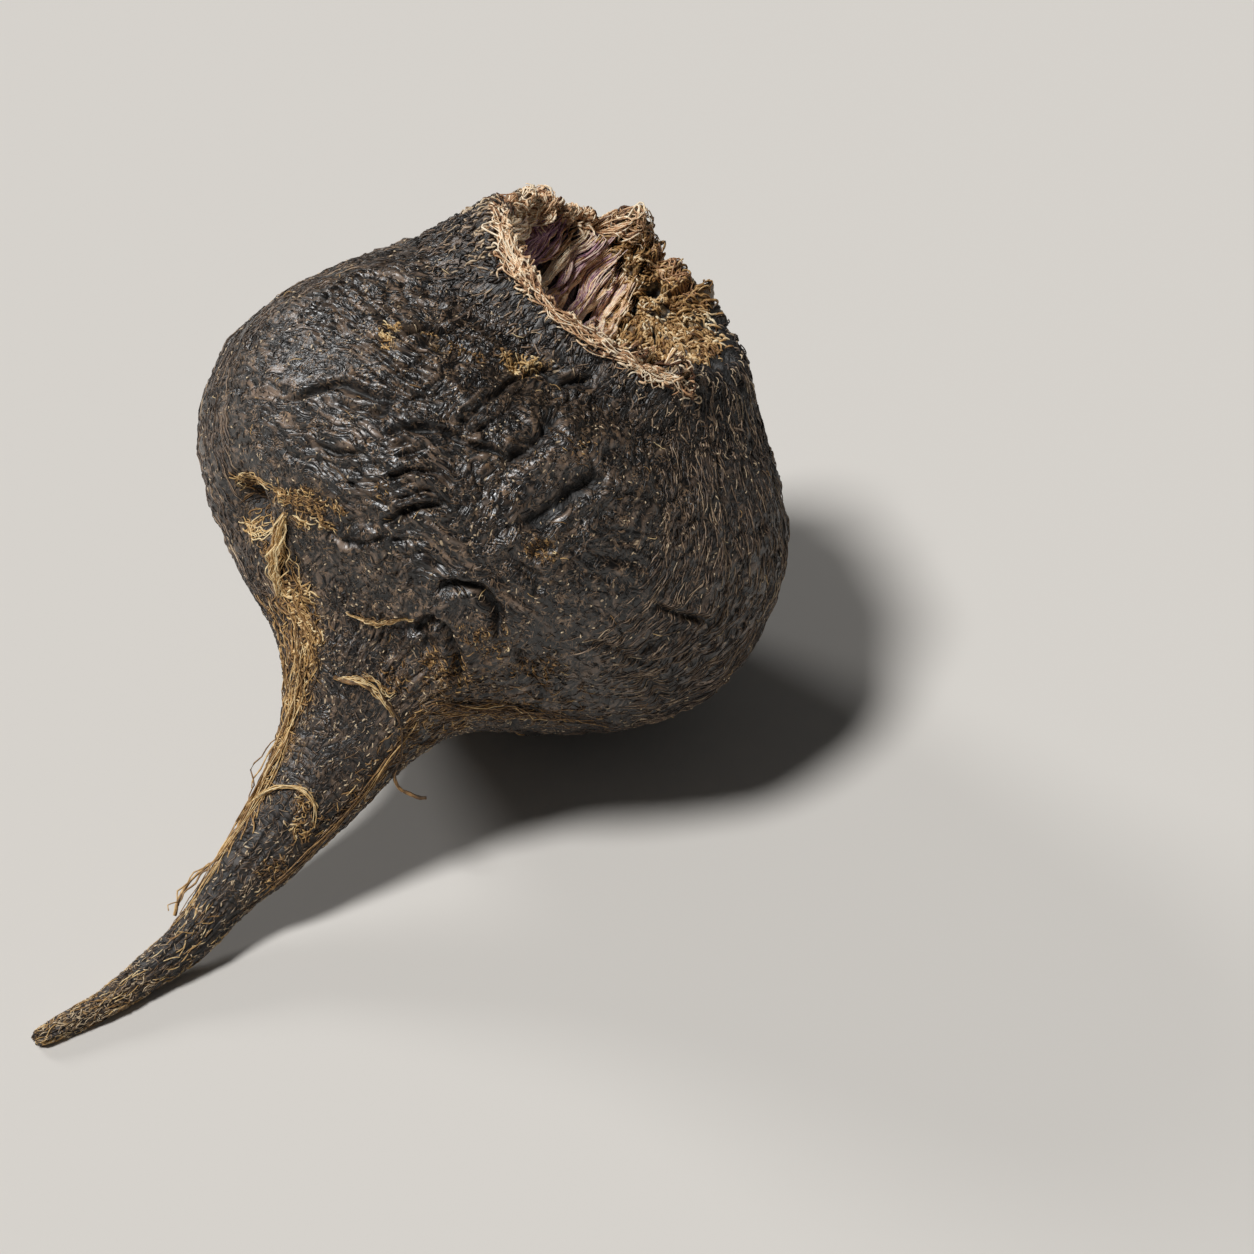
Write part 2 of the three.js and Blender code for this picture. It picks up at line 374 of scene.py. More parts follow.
def wrinkleShare(base):
    # Few wrinkles on the smooth swell at the left, and the most across the middle front.
    return (0.75 - 0.5 * near(base, spot(50, 340), 9) + 0.45 * near(base, spot(43, 288), 6)
            + 0.3 * near(base, spot(33, 318), 6) - 0.25 * near(base, spot(20, 320), 5))


def wrinkleHeight(base, along, angle):
    # Pillows round the body and pillows down it, mixed from place to place, with small creases and
    # a fine grain over both. The tap root has its own lengthwise streaks.
    look = skinWrinkles
    rolled = girthPlace(along, angle, look["girth"])
    shift = np.stack([latticeNoise(rolled / look["wanderSpacing"] + 9 * k, 40 + k) for k in range(3)], -1)
    rolled = rolled + look["wander"] * shift
    around = np.array([look["drawnOut"], look["drawnOut"], 1])
    lengthwise = np.array([1, 1, look["drawnOut"]])
    mix = grainMix(base, rolled)
    field, creases = ((1 - mix) * pillows(layeredNoise(rolled / (around * size), 3, 1))
                      + mix * pillows(layeredNoise(rolled / (lengthwise * size), 8, 1))
                      for size in (look["spacing"], look["creaseSpacing"]))
    strength = 0.45 + 0.55 * smoothStep(latticeNoise(rolled / 8, 23), -0.45, 0.35)
    creased = 0.35 + 0.65 * smoothStep(latticeNoise(rolled / 5, 27), -0.3, 0.3)
    body = smoothStep(along, *look["bodyFrom"]) * (1 - smoothStep(along, *look["bodyTo"]))
    height = look["height"] * strength * wrinkleShare(base) * field
    height = body * (height + look["creaseHeight"] * creased * creases)
    fine = latticeNoise(base / look["fineSpacing"], 60) * smoothStep(along, *look["fineFrom"])
    height += look["fineHeight"] * fine * (1 - 0.6 * smoothStep(along, *look["fineTo"]))
    tapRolled = girthPlace(along / look["tapDrawnOut"], angle, look["tapGirth"]) + 0.35 * shift
    streaks = pillows(layeredNoise(tapRolled, 71, 2))
    return height + look["tapStreak"] * smoothStep(along, *look["tapFrom"]) * streaks


# The crown's dish: cords of old leaf stalks across its left, and spongy pith with holes at its right
crownRelief = {
    "cordSpacing": 0.75,
    "cordHeight": 0.55,
    "gapSpacing": 2.4,
    "gapDepth": 1.3,
    "holeSpacing": 1.5,
    "holeDepth": 1.7,
    "lumpSpacing": 0.9,
    "lumpHeight": 0.7,
    "rimHeight": 0.9,
    "rimSpacing": (1.6, 1.6, 3.0),
    "ribHeight": 0.3,
    "ribSpacing": (0.7, 0.7, 5),
    "girth": 12.0,
    "wornDepth": 1.3,
    "wornAngle": 182,
    # where along the root: the dish's edge, the rim and the worn part with their spreads, and the ribs
    "dishEdge": (13.5, 16.5),
    "rimPlace": (14.2, 1.6),
    "wornPlace": (15.5, 2.6),
    "ribsFrom": (14, 16),
    "ribsTo": (19, 25),
}


def crownChart(along, angle):
    # The dish laid flat: millimetres from its middle, x to the root's left and y to its back.
    return along * np.cos(angle), along * np.sin(angle)


def spongeShare(base, along, angle):
    # The dish's right, and its far side but for the left end of that.
    x, y = crownChart(along, angle)
    wander = 1.2 * latticeNoise(base / 2.5, 97)
    right = smoothStep(-x - 0.1 * y + wander, 0.2, 1.6)
    far = smoothStep(y - 0.5 * np.maximum(x, 0) + wander, 9.0, 10.4)
    return np.maximum(right, far)


def wornRim(angle):
    # 1 on the crown's right, where the rim is worn down to dark skin, and 0 elsewhere.
    return smoothStep(np.cos(angle - math.radians(crownRelief["wornAngle"])), 0.6, 0.86)


def pithHoles(base):
    # 1 in the sponge's holes, where its noise is high.
    return smoothStep(layeredNoise(base / crownRelief["holeSpacing"], 95, 1), 0.2, 0.45)


def cordNoise(along, angle, across, seed):
    # Noise drawn out from front to back over the dish, so that it lies in cords, across mm apart.
    x, y = crownChart(along, angle)
    x = x + 0.5 * np.sin(y / 3.1)
    return layeredNoise(np.stack([x / across, y / 7, 0 * x + 0.3], -1), seed, 2)


def crownHeight(base, along, angle):
    # Inside the rim, cords with gaps or sponge with holes. The rim itself is ragged, or worn down at
    # the right, and short ribs run out from it.
    look = crownRelief
    rimAlong, rimSpread = look["rimPlace"]
    wornAlong, wornSpread = look["wornPlace"]
    inside = 1 - smoothStep(along, *look["dishEdge"])
    cords = look["cordHeight"] * pillows(cordNoise(along, angle, look["cordSpacing"], 90))
    cords -= look["gapDepth"] * bell(cordNoise(along, angle, look["gapSpacing"], 86), 0.13)
    sponge = look["lumpHeight"] * pillows(layeredNoise(base / look["lumpSpacing"], 98, 1))
    sponge -= look["holeDepth"] * pithHoles(base)
    share = spongeShare(base, along, angle)
    rolled = girthPlace(along, angle, look["girth"])
    ragged = layeredNoise(rolled / np.array(look["rimSpacing"]), 99, 2)
    ribs = pillows(layeredNoise(rolled / np.array(look["ribSpacing"]), 93, 1))
    rim = bell(along - rimAlong, rimSpread) * (1 - 0.7 * wornRim(angle))
    skirt = smoothStep(along, *look["ribsFrom"]) * (1 - smoothStep(along, *look["ribsTo"]))
    height = inside * ((1 - share) * cords + share * sponge)
    height -= look["wornDepth"] * wornRim(angle) * bell(along - wornAlong, wornSpread)
    return height + rim * look["rimHeight"] * ragged + skirt * look["ribHeight"] * ribs


def skinPoint(along, angle, lift=0.0):
    # The smooth root moved along its normal by its swells, folds, wrinkles and crown relief, and
    # kept above the table. Also gives the relief alone, which is below zero in the valleys.
    base = smoothPoint(along, angle)
    outward = smoothNormal(along, angle)
    swell = np.zeros(base.shape[:-1])
    for swellAlong, swellAngle, spread, rise in rootForm["swells"]:
        swell += rise * near(base, spot(swellAlong, swellAngle), spread)
    relief = foldHeight(base) + wrinkleHeight(base, along, angle) + crownHeight(base, along, angle)
    point = base + outward * (swell + relief + lift)[..., None]
    point[..., 2] = np.maximum(point[..., 2], rootForm["aboveTable"])
    return point, base, relief


def toRow(points):
    # From the root's own millimetres to the frame's metres, whose origin is under the box's middle.
    return (points - np.array(rootForm["boxMiddle"])) * millimetre


def meshPiece(name, points, faces, sizes, attributes):
    # Points in metres; faces as one flat run of corners, sizes as the corners of each face.
    mesh = bpy.data.meshes.new(name)
    mesh.vertices.add(len(points))
    mesh.vertices.foreach_set("co", points.astype(np.float32).ravel())
    mesh.loops.add(len(faces))
    mesh.loops.foreach_set("vertex_index", faces.astype(np.int32))
    mesh.polygons.add(len(sizes))
    firsts = np.concatenate([[0], np.cumsum(sizes)[:-1]])
    mesh.polygons.foreach_set("loop_start", firsts.astype(np.int32))
    mesh.polygons.foreach_set("loop_total", sizes.astype(np.int32))
    mesh.polygons.foreach_set("use_smooth", np.ones(len(sizes), bool))
    for key, values in attributes.items():
        layer = mesh.attributes.new(key, "FLOAT", "POINT")
        layer.data.foreach_set("value", values.astype(np.float32).ravel())
    mesh.update(calc_edges=True)
    mesh.validate()
    piece = bpy.data.objects.new(name, mesh)
    bpy.context.scene.collection.objects.link(piece)
    return piece


def dress(piece, material, stands=False):
    # Its finish, body and slot, and whether it stands for the solid root.
    piece.data.materials.append(material)
    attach(piece, "root")
    if stands:
        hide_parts("maca_root")


# Where the black cork is rubbed through to tan bast: (along, angle, spread, strength)
tanPatches = [
    # the pits and rubbed spots of the shoulder, the front and the lower front
    (34, 306, 1.1, 1), (36, 303, 0.8, 0.6), (23.5, 284, 1.0, 1), (22.5, 279, 0.8, 0.8), (28, 302, 1.6, 0.45),
    (46, 258, 1.3, 0.55), (45, 254, 1, 0.4), (59, 252, 2.2, 0.4), (67, 246, 2.4, 0.6), (58, 234, 2, 0.45),
    # the lower edge
    (71, 227, 3, 0.6), (66, 208, 4, 0.5), (62, 206, 3.5, 0.5), (60, 197, 4, 0.4),
    # round the hollow at the left, then down the neck and the tap root's left
    (55, 307, 2.3, 0.5), (56, 326, 1.4, 0.6), (57, 318, 1.4, 0.6), (60, 341, 1.7, 0.6), (62, 327, 1.5, 0.75),
    (66, 334, 1.7, 0.8), (69, 328, 2.0, 0.8), (72, 330, 2.2, 0.85), (76, 332, 2.0, 0.8), (80, 335, 1.8, 0.75),
    (85, 340, 1.5, 0.7), (91, 345, 1.4, 0.6),
    # the tap root's right
    (75, 218, 2.0, 0.5), (80, 215, 1.8, 0.5), (86, 230, 1.6, 0.5), (92, 228, 1.5, 0.5), (83, 268, 1.0, 0.55),
    # under the crown, the back and below
    (24, 262, 2, 0.2), (60, 120, 5, 0.45), (70, 140, 4, 0.5), (45, 95, 3, 0.3), (33, 60, 2, 0.45),
    (50, 160, 3, 0.35), (38, 120, 2, 0.45), (56, 30, 2.5, 0.3),
]


def patchShare(base):
    # The strongest of the patches' bells at each point.
    total = np.zeros(base.shape[:-1])
    for along, angle, spread, strength in tanPatches:
        total = np.maximum(total, strength * near(base, spot(along, angle), spread))
    return total


def skinMarks(base, relief, along, angle):
    # What the finish needs to know at each point of the skin, each 0 to 1: tan bast, brown cork, painted
    # shade in the valleys and the hollow with darker patches round the collar, golden pith, purple leaf
    # stalks, which way the crinkles run, and how dull the skin is, most of it low down, where it is also
    # painted darker as shade.
    wander = layeredNoise(base / 2.2, 120, 2)
    tan = patchShare(base) * (1.1 + 0.8 * wander)
    tan = np.maximum(tan, 0.9 * smoothStep(along + 3 * wander, 98, 107))
    rim = bell(along - 14.8 + 0.8 * wander, 0.8) * (1 - wornRim(angle))
    brown = smoothStep(along + 4 * wander - 9 * np.cos(angle - math.radians(25)), 74, 98)
    brown = np.maximum(brown, 0.75 * near(base, spot(67, 232), 6))
    brown = np.maximum(brown, 0.45 * smoothStep(wander, 0.25, 0.8))
    inside = 1 - smoothStep(along + 0.6 * wander + 1.6 * wornRim(angle), 13.6, 15.0)
    share = spongeShare(base, along, angle)
    golden = np.maximum(0.7 * rim, inside * share * (0.9 + 0.3 * wander) * (1 - 0.9 * pithHoles(base)))
    stripes = smoothStep(cordNoise(along, angle, 1.1, 84), -0.12, 0.1)
    purple = inside * (1 - share) * stripes
    golden = np.maximum(golden, inside * (1 - share) * (1 - stripes) * 0.3)
    # painted shade: darker in the valleys of the relief and in the hollow, and in patches round the collar
    paintedShade = smoothStep(-relief, 0.12, 0.75)
    paintedShade = np.maximum(paintedShade, 0.6 * bell(along - 18.5, 2.5) * smoothStep(wander, -0.4, 0.4))
    paintedShade = np.maximum(paintedShade, 1.3 * near(base, spot(58.3, 334), 1.7))
    grain = grainMix(base, girthPlace(along, angle, skinWrinkles["girth"]))
    # matt, and painted darker as shade the lower the skin stands; matt and darker round the worn rim and the
    # collar too
    dullAndShaded = smoothStep(17 - base[..., 2] + 4 * wander, -1, 8) * smoothStep(along, 20, 30)
    dullAndShaded = np.maximum(dullAndShaded, 0.8 * wornRim(angle) * (1 - smoothStep(along, 20, 40)))
    dullAndShaded = np.maximum(dullAndShaded, 0.6 * (1 - smoothStep(along + 2 * wander, 17, 24)))
    marks = {"tan": tan, "brown": brown, "paintedShade": paintedShade, "golden": golden, "purple": purple, "grain": grain,
             "dullAndShaded": dullAndShaded}
    return {name: np.clip(values, 0, 1) for name, values in marks.items()}


# Rings of the skin: distance along the root at which each stretch ends, its rings, and its columns.
# The columns stand closer together round the front angle, by the share called crowd.
skinRings = {
    "stretches": [(6, 14, 104), (11, 14, 208), (24, 28, 416), (61, 142, 416), (75, 22, 416), (89, 34, 208),
                   (rootLength, 58, 104)],
    "frontAngle": 288,
    "crowd": 0.4,
}


def skinPlan():
    # Every ring's distance along the root and its number of columns. Neighbouring stretches differ
    # by a factor of two, so a ring can be stitched to the next by three triangles for each column.
    plan = []
    start = 0.0
    for end, count, columns in skinRings["stretches"]:
        steps = start + (end - start) * np.arange(1, count + 1) / count
        plan += [(step, columns) for step in steps]
        start = end
    return plan[:-1]


def stitch(firstA, columnsA, firstB, columnsB):
    # Faces between ring A, nearer the crown, and ring B, nearer the tip.
    coarse = min(columnsA, columnsB)
    k = np.arange(coarse)
    n = (k + 1) % coarse
    if columnsA == columnsB:
        parts = [[firstA + k, firstA + n, firstB + n, firstB + k]]
    else:
        low, mid, high = 2 * k, 2 * k + 1, (2 * k + 2) % (2 * coarse)
        if columnsA < columnsB:
            parts = [[firstA + k, firstB + mid, firstB + low], [firstA + k, firstA + n, firstB + mid],
                     [firstA + n, firstB + high, firstB + mid]]
        else:
            parts = [[firstB + k, firstA + low, firstA + mid], [firstB + k, firstA + mid, firstB + n],
                     [firstB + n, firstA + mid, firstA + high]]
    corners = np.concatenate([np.stack(part, 1) for part in parts])
    return corners.ravel(), np.full(len(corners), corners.shape[1])


def fan(pole, first, columns, facing):
    # Triangles between a pole and the ring beside it.
    k = np.arange(columns)
    n = (k + 1) % columns
    pair = (n, k) if facing else (k, n)
    corners = np.stack([0 * k + pole, first + pair[0], first + pair[1]], 1)
    return corners.ravel(), np.full(columns, 3)


def makeSkin(material):
    # Rings of points from the pole in the crown's dish to the pole at the tip.
    plan = skinPlan()
    counts = np.array([columns for _, columns in plan])
    firsts = 1 + np.concatenate([[0], np.cumsum(counts)[:-1]])
    last = 1 + counts.sum()
    turn = np.concatenate([2 * np.pi * np.arange(columns) / columns for columns in counts])
    turn = turn - skinRings["crowd"] * np.sin(turn - math.radians(skinRings["frontAngle"]))
    along = np.concatenate([[0.0], np.repeat([step for step, _ in plan], counts), [rootLength]])
    angle = np.concatenate([[0.0], turn, [0.0]])
    points, base, relief = skinPoint(along, angle)
    runs = [fan(0, firsts[0], counts[0], True)]
    runs += [stitch(firsts[row], counts[row], firsts[row + 1], counts[row + 1])
             for row in range(len(plan) - 1)]
    runs += [fan(last, firsts[-1], counts[-1], False)]
    piece = meshPiece("rootSkin", toRow(points), np.concatenate([run[0] for run in runs]),
                      np.concatenate([run[1] for run in runs]), skinMarks(base, relief, along, angle))
    dress(piece, material, stands=True)


def srgb(text):
    # "#rrggbb" as shown on a screen, turned to linear light by the usual sRGB curve.
    parts = np.array([int(text[k:k + 2], 16) / 255 for k in (1, 3, 5)])
    linear = np.where(parts <= 0.04045, parts / 12.92, ((parts + 0.055) / 1.055) ** 2.4)
    return (*linear.tolist(), 1.0)


def setInputs(node, inputs):
    # Inputs by name or number: a socket is linked, and anything else is set as the value.
    for key, value in inputs.items():
        if isinstance(value, bpy.types.NodeSocket):
            node.id_data.links.new(value, node.inputs[key])
        else:
            node.inputs[key].default_value = value


def addNode(tree, kind, inputs=None, output=0, **settings):
    # Adds one node with its settings and inputs, and gives back the output asked for.
    node = tree.nodes.new("ShaderNode" + kind)
    for key, value in settings.items():
        setattr(node, key, value)
    setInputs(node, inputs or {})
    return node.outputs[output] if node.outputs else None


# Settings that many nodes share
plus, minus, times, timesPlus, larger, positive, squareRoot = (
    {"operation": name}
    for name in ("ADD", "SUBTRACT", "MULTIPLY", "MULTIPLY_ADD", "MAXIMUM", "ABSOLUTE", "SQRT"))
smooth = {"interpolation_type": "SMOOTHSTEP"}
colours = {"data_type": "RGBA"}


def newFinish(name):
    # An empty finish: its material, what adds nodes to it, and its shader.
    material = bpy.data.materials.new(name)
    material.use_nodes = True
    tree = material.node_tree
    return material, functools.partial(addNode, tree), tree.nodes["Principled BSDF"]


# The skin's colours: what its pale side follows, its dark side and its pale side
skinColours = {
    # the cork's pale side, on the crinkles' crests in patches, and the umber's, on the crests, are a painted
    # highlight
    "cork": ("patchyCrestHighlight", "#0a0705", "#846f5e"),
    "corkHair": ("lit", "#261e18", "#94795f"),
    "umber": ("crestHighlight", "#0b0704", "#6a5038"),
    "umberHair": ("lit", "#4a3524", "#a57c4e"),
    "bast": ("webs", "#2a1c10", "#b08c5c"),
    "pith": ("gritty", "#38240f", "#c19a60"),
    "stalk": ("webs", "#22151c", "#6d5060"),
}


def corkSkin():
    # Dried cork skin over a waxy rind: near black, crinkled into broad silver-grey glints, webbed with
    # fine fibres and rubbed through to tan bast in places. The crinkles' crests carry a painted highlight,
    # and painted shade darkens the valleys, the hollow and the lower body; the valleys are matt too.
    material, add, shader = newFinish("corkSkin")
    marks = {name: add("Attribute", output="Fac", attribute_name=name)
             for name in ("tan", "brown", "paintedShade", "golden", "purple", "grain", "dullAndShaded")}
    place = add("VectorMath", {0: add("TexCoord", output="Object"), "Scale": 1000.0}, operation="SCALE")
    # curled = place + 1.6 (noise - 0.5), so that lines drawn over it curl
    curl = add("TexNoise", {"Vector": place, "Scale": 1.1, "Detail": 1.0}, "Color")
    curl = add("VectorMath", {0: curl, 1: (0.5, 0.5, 0.5)}, **minus)
    curled = add("VectorMath", {0: curl, 1: (1.6, 1.6, 1.6), 2: place}, **timesPlus)
    # upright = place + 3 noise, turned so that the body stands on end; then it is drawn out round the
    # body, down it, and down it a little for the flecks
    drift = add("TexNoise", {"Vector": place, "Scale": 0.3, "Detail": 1.0}, "Color")
    drift = add("VectorMath", {0: drift, 1: (3.0, 3.0, 3.0), 2: place}, **timesPlus)
    upright = add("VectorRotate", {"Vector": drift, "Rotation": bodyTurn}, rotation_type="EULER_XYZ")
    drawnRound, drawnDown, drawnFleck = (add("VectorMath", {0: upright, 1: draw}, **times)
                                         for draw in ((0.2, 0.2, 1.0), (1.0, 1.0, 0.16), (1.0, 1.0, 0.45)))
    curledToo, curledLit, placeRare = (
        add("VectorMath", {0: start, 1: shift}, **plus)
        for start, shift in ((curled, (11, 3, 7)), (curled, (31, 8, 2)), (place, (2, 40, 9))))
    # what each noise is read over, its scale to the millimetre and its detail
    noise = {name: add("TexNoise", {"Vector": over, "Scale": scale, "Detail": detail})
             for name, over, scale, detail in (
                 ("web", curled, 1.25, 1.0), ("webToo", curledToo, 1.8, 1.0), ("broken", curledToo, 0.9, 1.0),
                 ("lit", curledLit, 1.1, 1.0), ("rare", placeRare, 0.8, 2.0), ("patchy", place, 0.22, 3.0),
                 ("grit", place, 1.3, 3.0), ("round", drawnRound, 1.35, 2.5), ("down", drawnDown, 1.35, 2.5),
                 ("fine", curled, 2.4, 2.0))}
    # webs are thin lines where noise passes its middle; crinkles are sqrt|noise - 0.5|, 0.4 mm apart,
    # and flow round the body or down it
    noise["crinkle"] = add("Mix", {0: marks["grain"], 2: noise["round"], 3: noise["down"]})
    away = {name: add("Math", {0: add("Math", {0: noise[name], 1: 0.5}, **minus)}, **positive)
            for name in ("web", "webToo", "crinkle")}
    ripple = add("Math", {0: away["crinkle"]}, **squareRoot)
    grit = add("Math", {0: noise["grit"], 1: 0.5}, **minus)
    brown = add("Math", {0: marks["brown"], 1: add("Math", {0: marks["dullAndShaded"], 1: 0.5}, **times)}, **larger)
    flecks = add("TexVoronoi", {"Vector": drawnFleck, "Scale": 1.8}, "Distance")
    # a smooth step from 0 to 1 between two levels of each
    share = {name: add("MapRange", {0: value, 1: low, 2: high}, **smooth)
             for name, value, low, high in (
                 ("web", away["web"], 0.036, 0.0), ("webToo", away["webToo"], 0.045, 0.0),
                 ("broken", noise["broken"], 0.46, 0.54), ("lit", noise["lit"], 0.35, 0.7),
                 ("rare", noise["rare"], 0.46, 0.6), ("fleck", flecks, 0.2, 0.11),
                 ("crestHighlight", ripple, 0.24, 0.47), ("patchy", noise["patchy"], 0.2, 0.62),
                 ("gritty", grit, -0.15, 0.2), ("brown", add("Math", {0: brown, 1: grit}, **plus), 0.25, 0.9),
                 ("tan", add("Math", {0: grit, 1: 1.8, 2: marks["tan"]}, **timesPlus), 0.35, 0.9))}
    # the crinkles' crests are painted paler, a painted highlight, in patches on the cork
    share["patchyCrestHighlight"] = add("Math", {0: share["crestHighlight"], 1: share["patchy"]}, **times)
    share["webToo"] = add("Math", {0: share["webToo"], 1: share["broken"]}, **times)
    share["webs"] = add("Math", {0: share["web"], 1: share["webToo"]}, **larger)
    tone = {name: add("Mix", {0: share[shown], 6: srgb(dark), 7: srgb(pale)}, 2, **colours)
            for name, (shown, dark, pale) in skinColours.items()}
    umber = add("Mix", {0: share["webs"], 6: tone["umber"], 7: tone["umberHair"]}, 2, **colours)
    # the layers over the cork: where each shows, how strongly, and its colour. The two near-black layers
    # are painted shade, low on the body and in the valleys and the hollow, and they also darken the collar
    # and the worn rim.
    colour = tone["cork"]
    for shown, strength, layer in (
            (share["webs"], 1.0, tone["corkHair"]), (share["brown"], 0.85, umber),
            # the near-black layer over the lower body is painted shade
            (marks["dullAndShaded"], 0.8, srgb("#0a0604")), (share["tan"], 1.0, tone["bast"]),
            (share["fleck"], share["rare"], srgb("#c2ab8b")), (marks["golden"], 1.0, tone["pith"]),
            # painted shade, near black, in the valleys and the hollow
            (marks["purple"], 1.0, tone["stalk"]), (marks["paintedShade"], 0.9, srgb("#060504"))):
        shown = add("Math", {0: shown, 1: strength}, **times)
        colour = add("Mix", {0: shown, 6: colour, 7: layer}, 2, **colours)
    # roughness 0.35 on the waxy rind and 0.62 where anything matt lies on it, both uneven
    matt = share["tan"]
    for other in (marks["golden"], share["brown"], marks["dullAndShaded"], marks["paintedShade"]):
        matt = add("Math", {0: matt, 1: other}, **larger)
    rough = add("MapRange", {0: matt, 3: 0.35, 4: 0.62})
    uneven = add("Math", {0: noise["patchy"], 1: 0.5}, **minus)
    rough = add("Math", {0: uneven, 1: 0.25, 2: rough}, **timesPlus)
    # relief in mm: (0.21 + 0.14 dullAndShaded - 0.08 brown) crinkle + 0.012 webs + 0.024 fine noise
    deep = add("Math", {0: marks["dullAndShaded"], 1: 0.14, 2: 0.21}, **timesPlus)
    deep = add("Math", {0: marks["brown"], 1: -0.08, 2: deep}, **timesPlus)
    relief = add("Math", {0: ripple, 1: deep}, **times)
    relief = add("Math", {0: share["webs"], 1: 0.012, 2: relief}, **timesPlus)
    relief = add("Math", {0: noise["fine"], 1: 0.024, 2: relief}, **timesPlus)
    bump = add("Bump", {"Height": relief, "Strength": 1.0, "Distance": millimetre})
    setInputs(shader, {"Base Color": colour, "Roughness": rough, "Specular IOR Level": 0.8, "Normal": bump})
    return material


def tubes(name, groups, sides, material):
    # Every strand is a thin closed tube: a ring of points stands square to its path at each step, and
    # a point closes each end. groups hold paths (strands x steps x 3) and radii (strands x steps) in
    # mm, and one shade for each strand.
    paths, radii, shade = (np.concatenate(parts) for parts in zip(*groups))
    strands, steps, _ = paths.shape
    heading = unit(np.gradient(paths, axis=1))
    aside = unit(np.cross(heading, unit(np.array([0.31, 0.52, 0.79]))))
    over = np.cross(heading, aside)
    turn = 2 * np.pi * np.arange(sides) / sides
    ring = np.cos(turn)[:, None] * aside[:, :, None, :] + np.sin(turn)[:, None] * over[:, :, None, :]
    rings = paths[:, :, None, :] + radii[:, :, None, None] * ring
    beyond = 0.6 * radii[:, [0, -1], None] * heading[:, [0, -1]] * np.array([[[-1.0], [1.0]]])
    tips = paths[:, [0, -1]] + beyond
    perStrand = steps * sides + 2
    points = np.concatenate([rings.reshape(strands, steps * sides, 3), tips], axis=1).reshape(-1, 3)
    points[:, 2] = np.maximum(points[:, 2], rootForm["aboveTable"])
    row = np.arange(steps - 1)[:, None] * sides
    k = np.arange(sides)
    n = (k + 1) % sides
    quads = np.stack([row + k, row + n, row + sides + n, row + sides + k], -1).reshape(-1, 4)
    end = (steps - 1) * sides
    start = np.stack([0 * k + steps * sides, n, k], 1)
    close = np.stack([0 * k + steps * sides + 1, end + k, end + n], 1)
    triangles = np.concatenate([start, close])
    shift = (np.arange(strands) * perStrand)[:, None, None]
    faces = np.concatenate([(quads + shift).ravel(), (triangles + shift).ravel()])
    sizes = np.concatenate([np.full(strands * len(quads), 4), np.full(strands * len(triangles), 3)])
    shade = np.repeat(np.clip(shade, 0, 1), perStrand)
    dress(meshPiece(name, toRow(points), faces, sizes, {"shade": shade}), material)


# Dry plant fibre: the colours from a strand's darkest shade to its palest, roughness and shine
fibreLooks = {
    # felted cork fibre: charcoal and grey, with a few rubbed tan, waxy enough to glint
    "corkFelt": ([(0.0, "#14100d"), (0.3, "#54453a"), (0.55, "#957d66"), (1.0, "#dcc6a4")], 0.42, 0.5),
    # bast torn from under the cork: brown where it is old, straw where it is fresh, and matt
    "tornBast": ([(0.0, "#1d150e"), (0.35, "#5a432c"), (0.6, "#a07a4c"), (0.8, "#cfa96e"), (1.0, "#f0d8a8")],
                 0.5, 0.4),
    # leaf-stalk fibre stained by the root's purple sap, paling to cream
    "stalkFibre": ([(0.0, "#45264c"), (0.3, "#7d4f7a"), (0.6, "#ae8592"), (1.0, "#edd6c2")], 0.5, 0.4),
    # fresh bast at the crown's rim: peach and straw, dark only deep in
    "rimBast": ([(0.0, "#22140e"), (0.35, "#704c34"), (0.65, "#c2946c"), (0.85, "#ecc9a0"), (1.0, "#fdeccf")],
                0.5, 0.4),
    # dried pith: golden, with brown depths
    "driedPith": ([(0.0, "#2e1b0c"), (0.3, "#7b5630"), (0.6, "#c29a64"), (0.85, "#e4c595"), (1.0, "#f6e6c4")],
                  0.55, 0.4),
}


def fibreFinish(name, stops, roughness, shine):
    # A strand's own shade, plus 0.7 (noise - 0.5) of streak and speck, read along the colour stops.
    material, add, shader = newFinish(name)
    place = add("VectorMath", {0: add("TexCoord", output="Object"), "Scale": 1000.0}, operation="SCALE")
    grain = add("TexNoise", {"Vector": place, "Scale": 2.5, "Detail": 2.0})
    grain = add("Math", {0: grain, 1: 0.5}, **minus)
    shade = add("Attribute", output="Fac", attribute_name="shade")
    colour = add("ValToRGB", {"Fac": add("Math", {0: grain, 1: 0.7, 2: shade}, **timesPlus)})
    ramp = colour.node.color_ramp
    for _ in range(len(stops) - 2):
        ramp.elements.new(0.5)
    for element, (where, tone) in zip(ramp.elements, stops):
        element.position = where
        element.color = srgb(tone)
    setInputs(shader, {"Base Color": colour, "Roughness": roughness, "Specular IOR Level": shine})
    return material


def taper(count, steps, thick, rng):
    # Radius along a strand: thinner towards both ends, and a little uneven.
    t = np.linspace(0, 1, steps)
    body = 0.45 + 0.55 * np.sin(np.pi * np.clip(t, 0.06, 0.94)) ** 0.5
    return thick[:, None] * body * rng.uniform(0.85, 1.15, (count, steps))


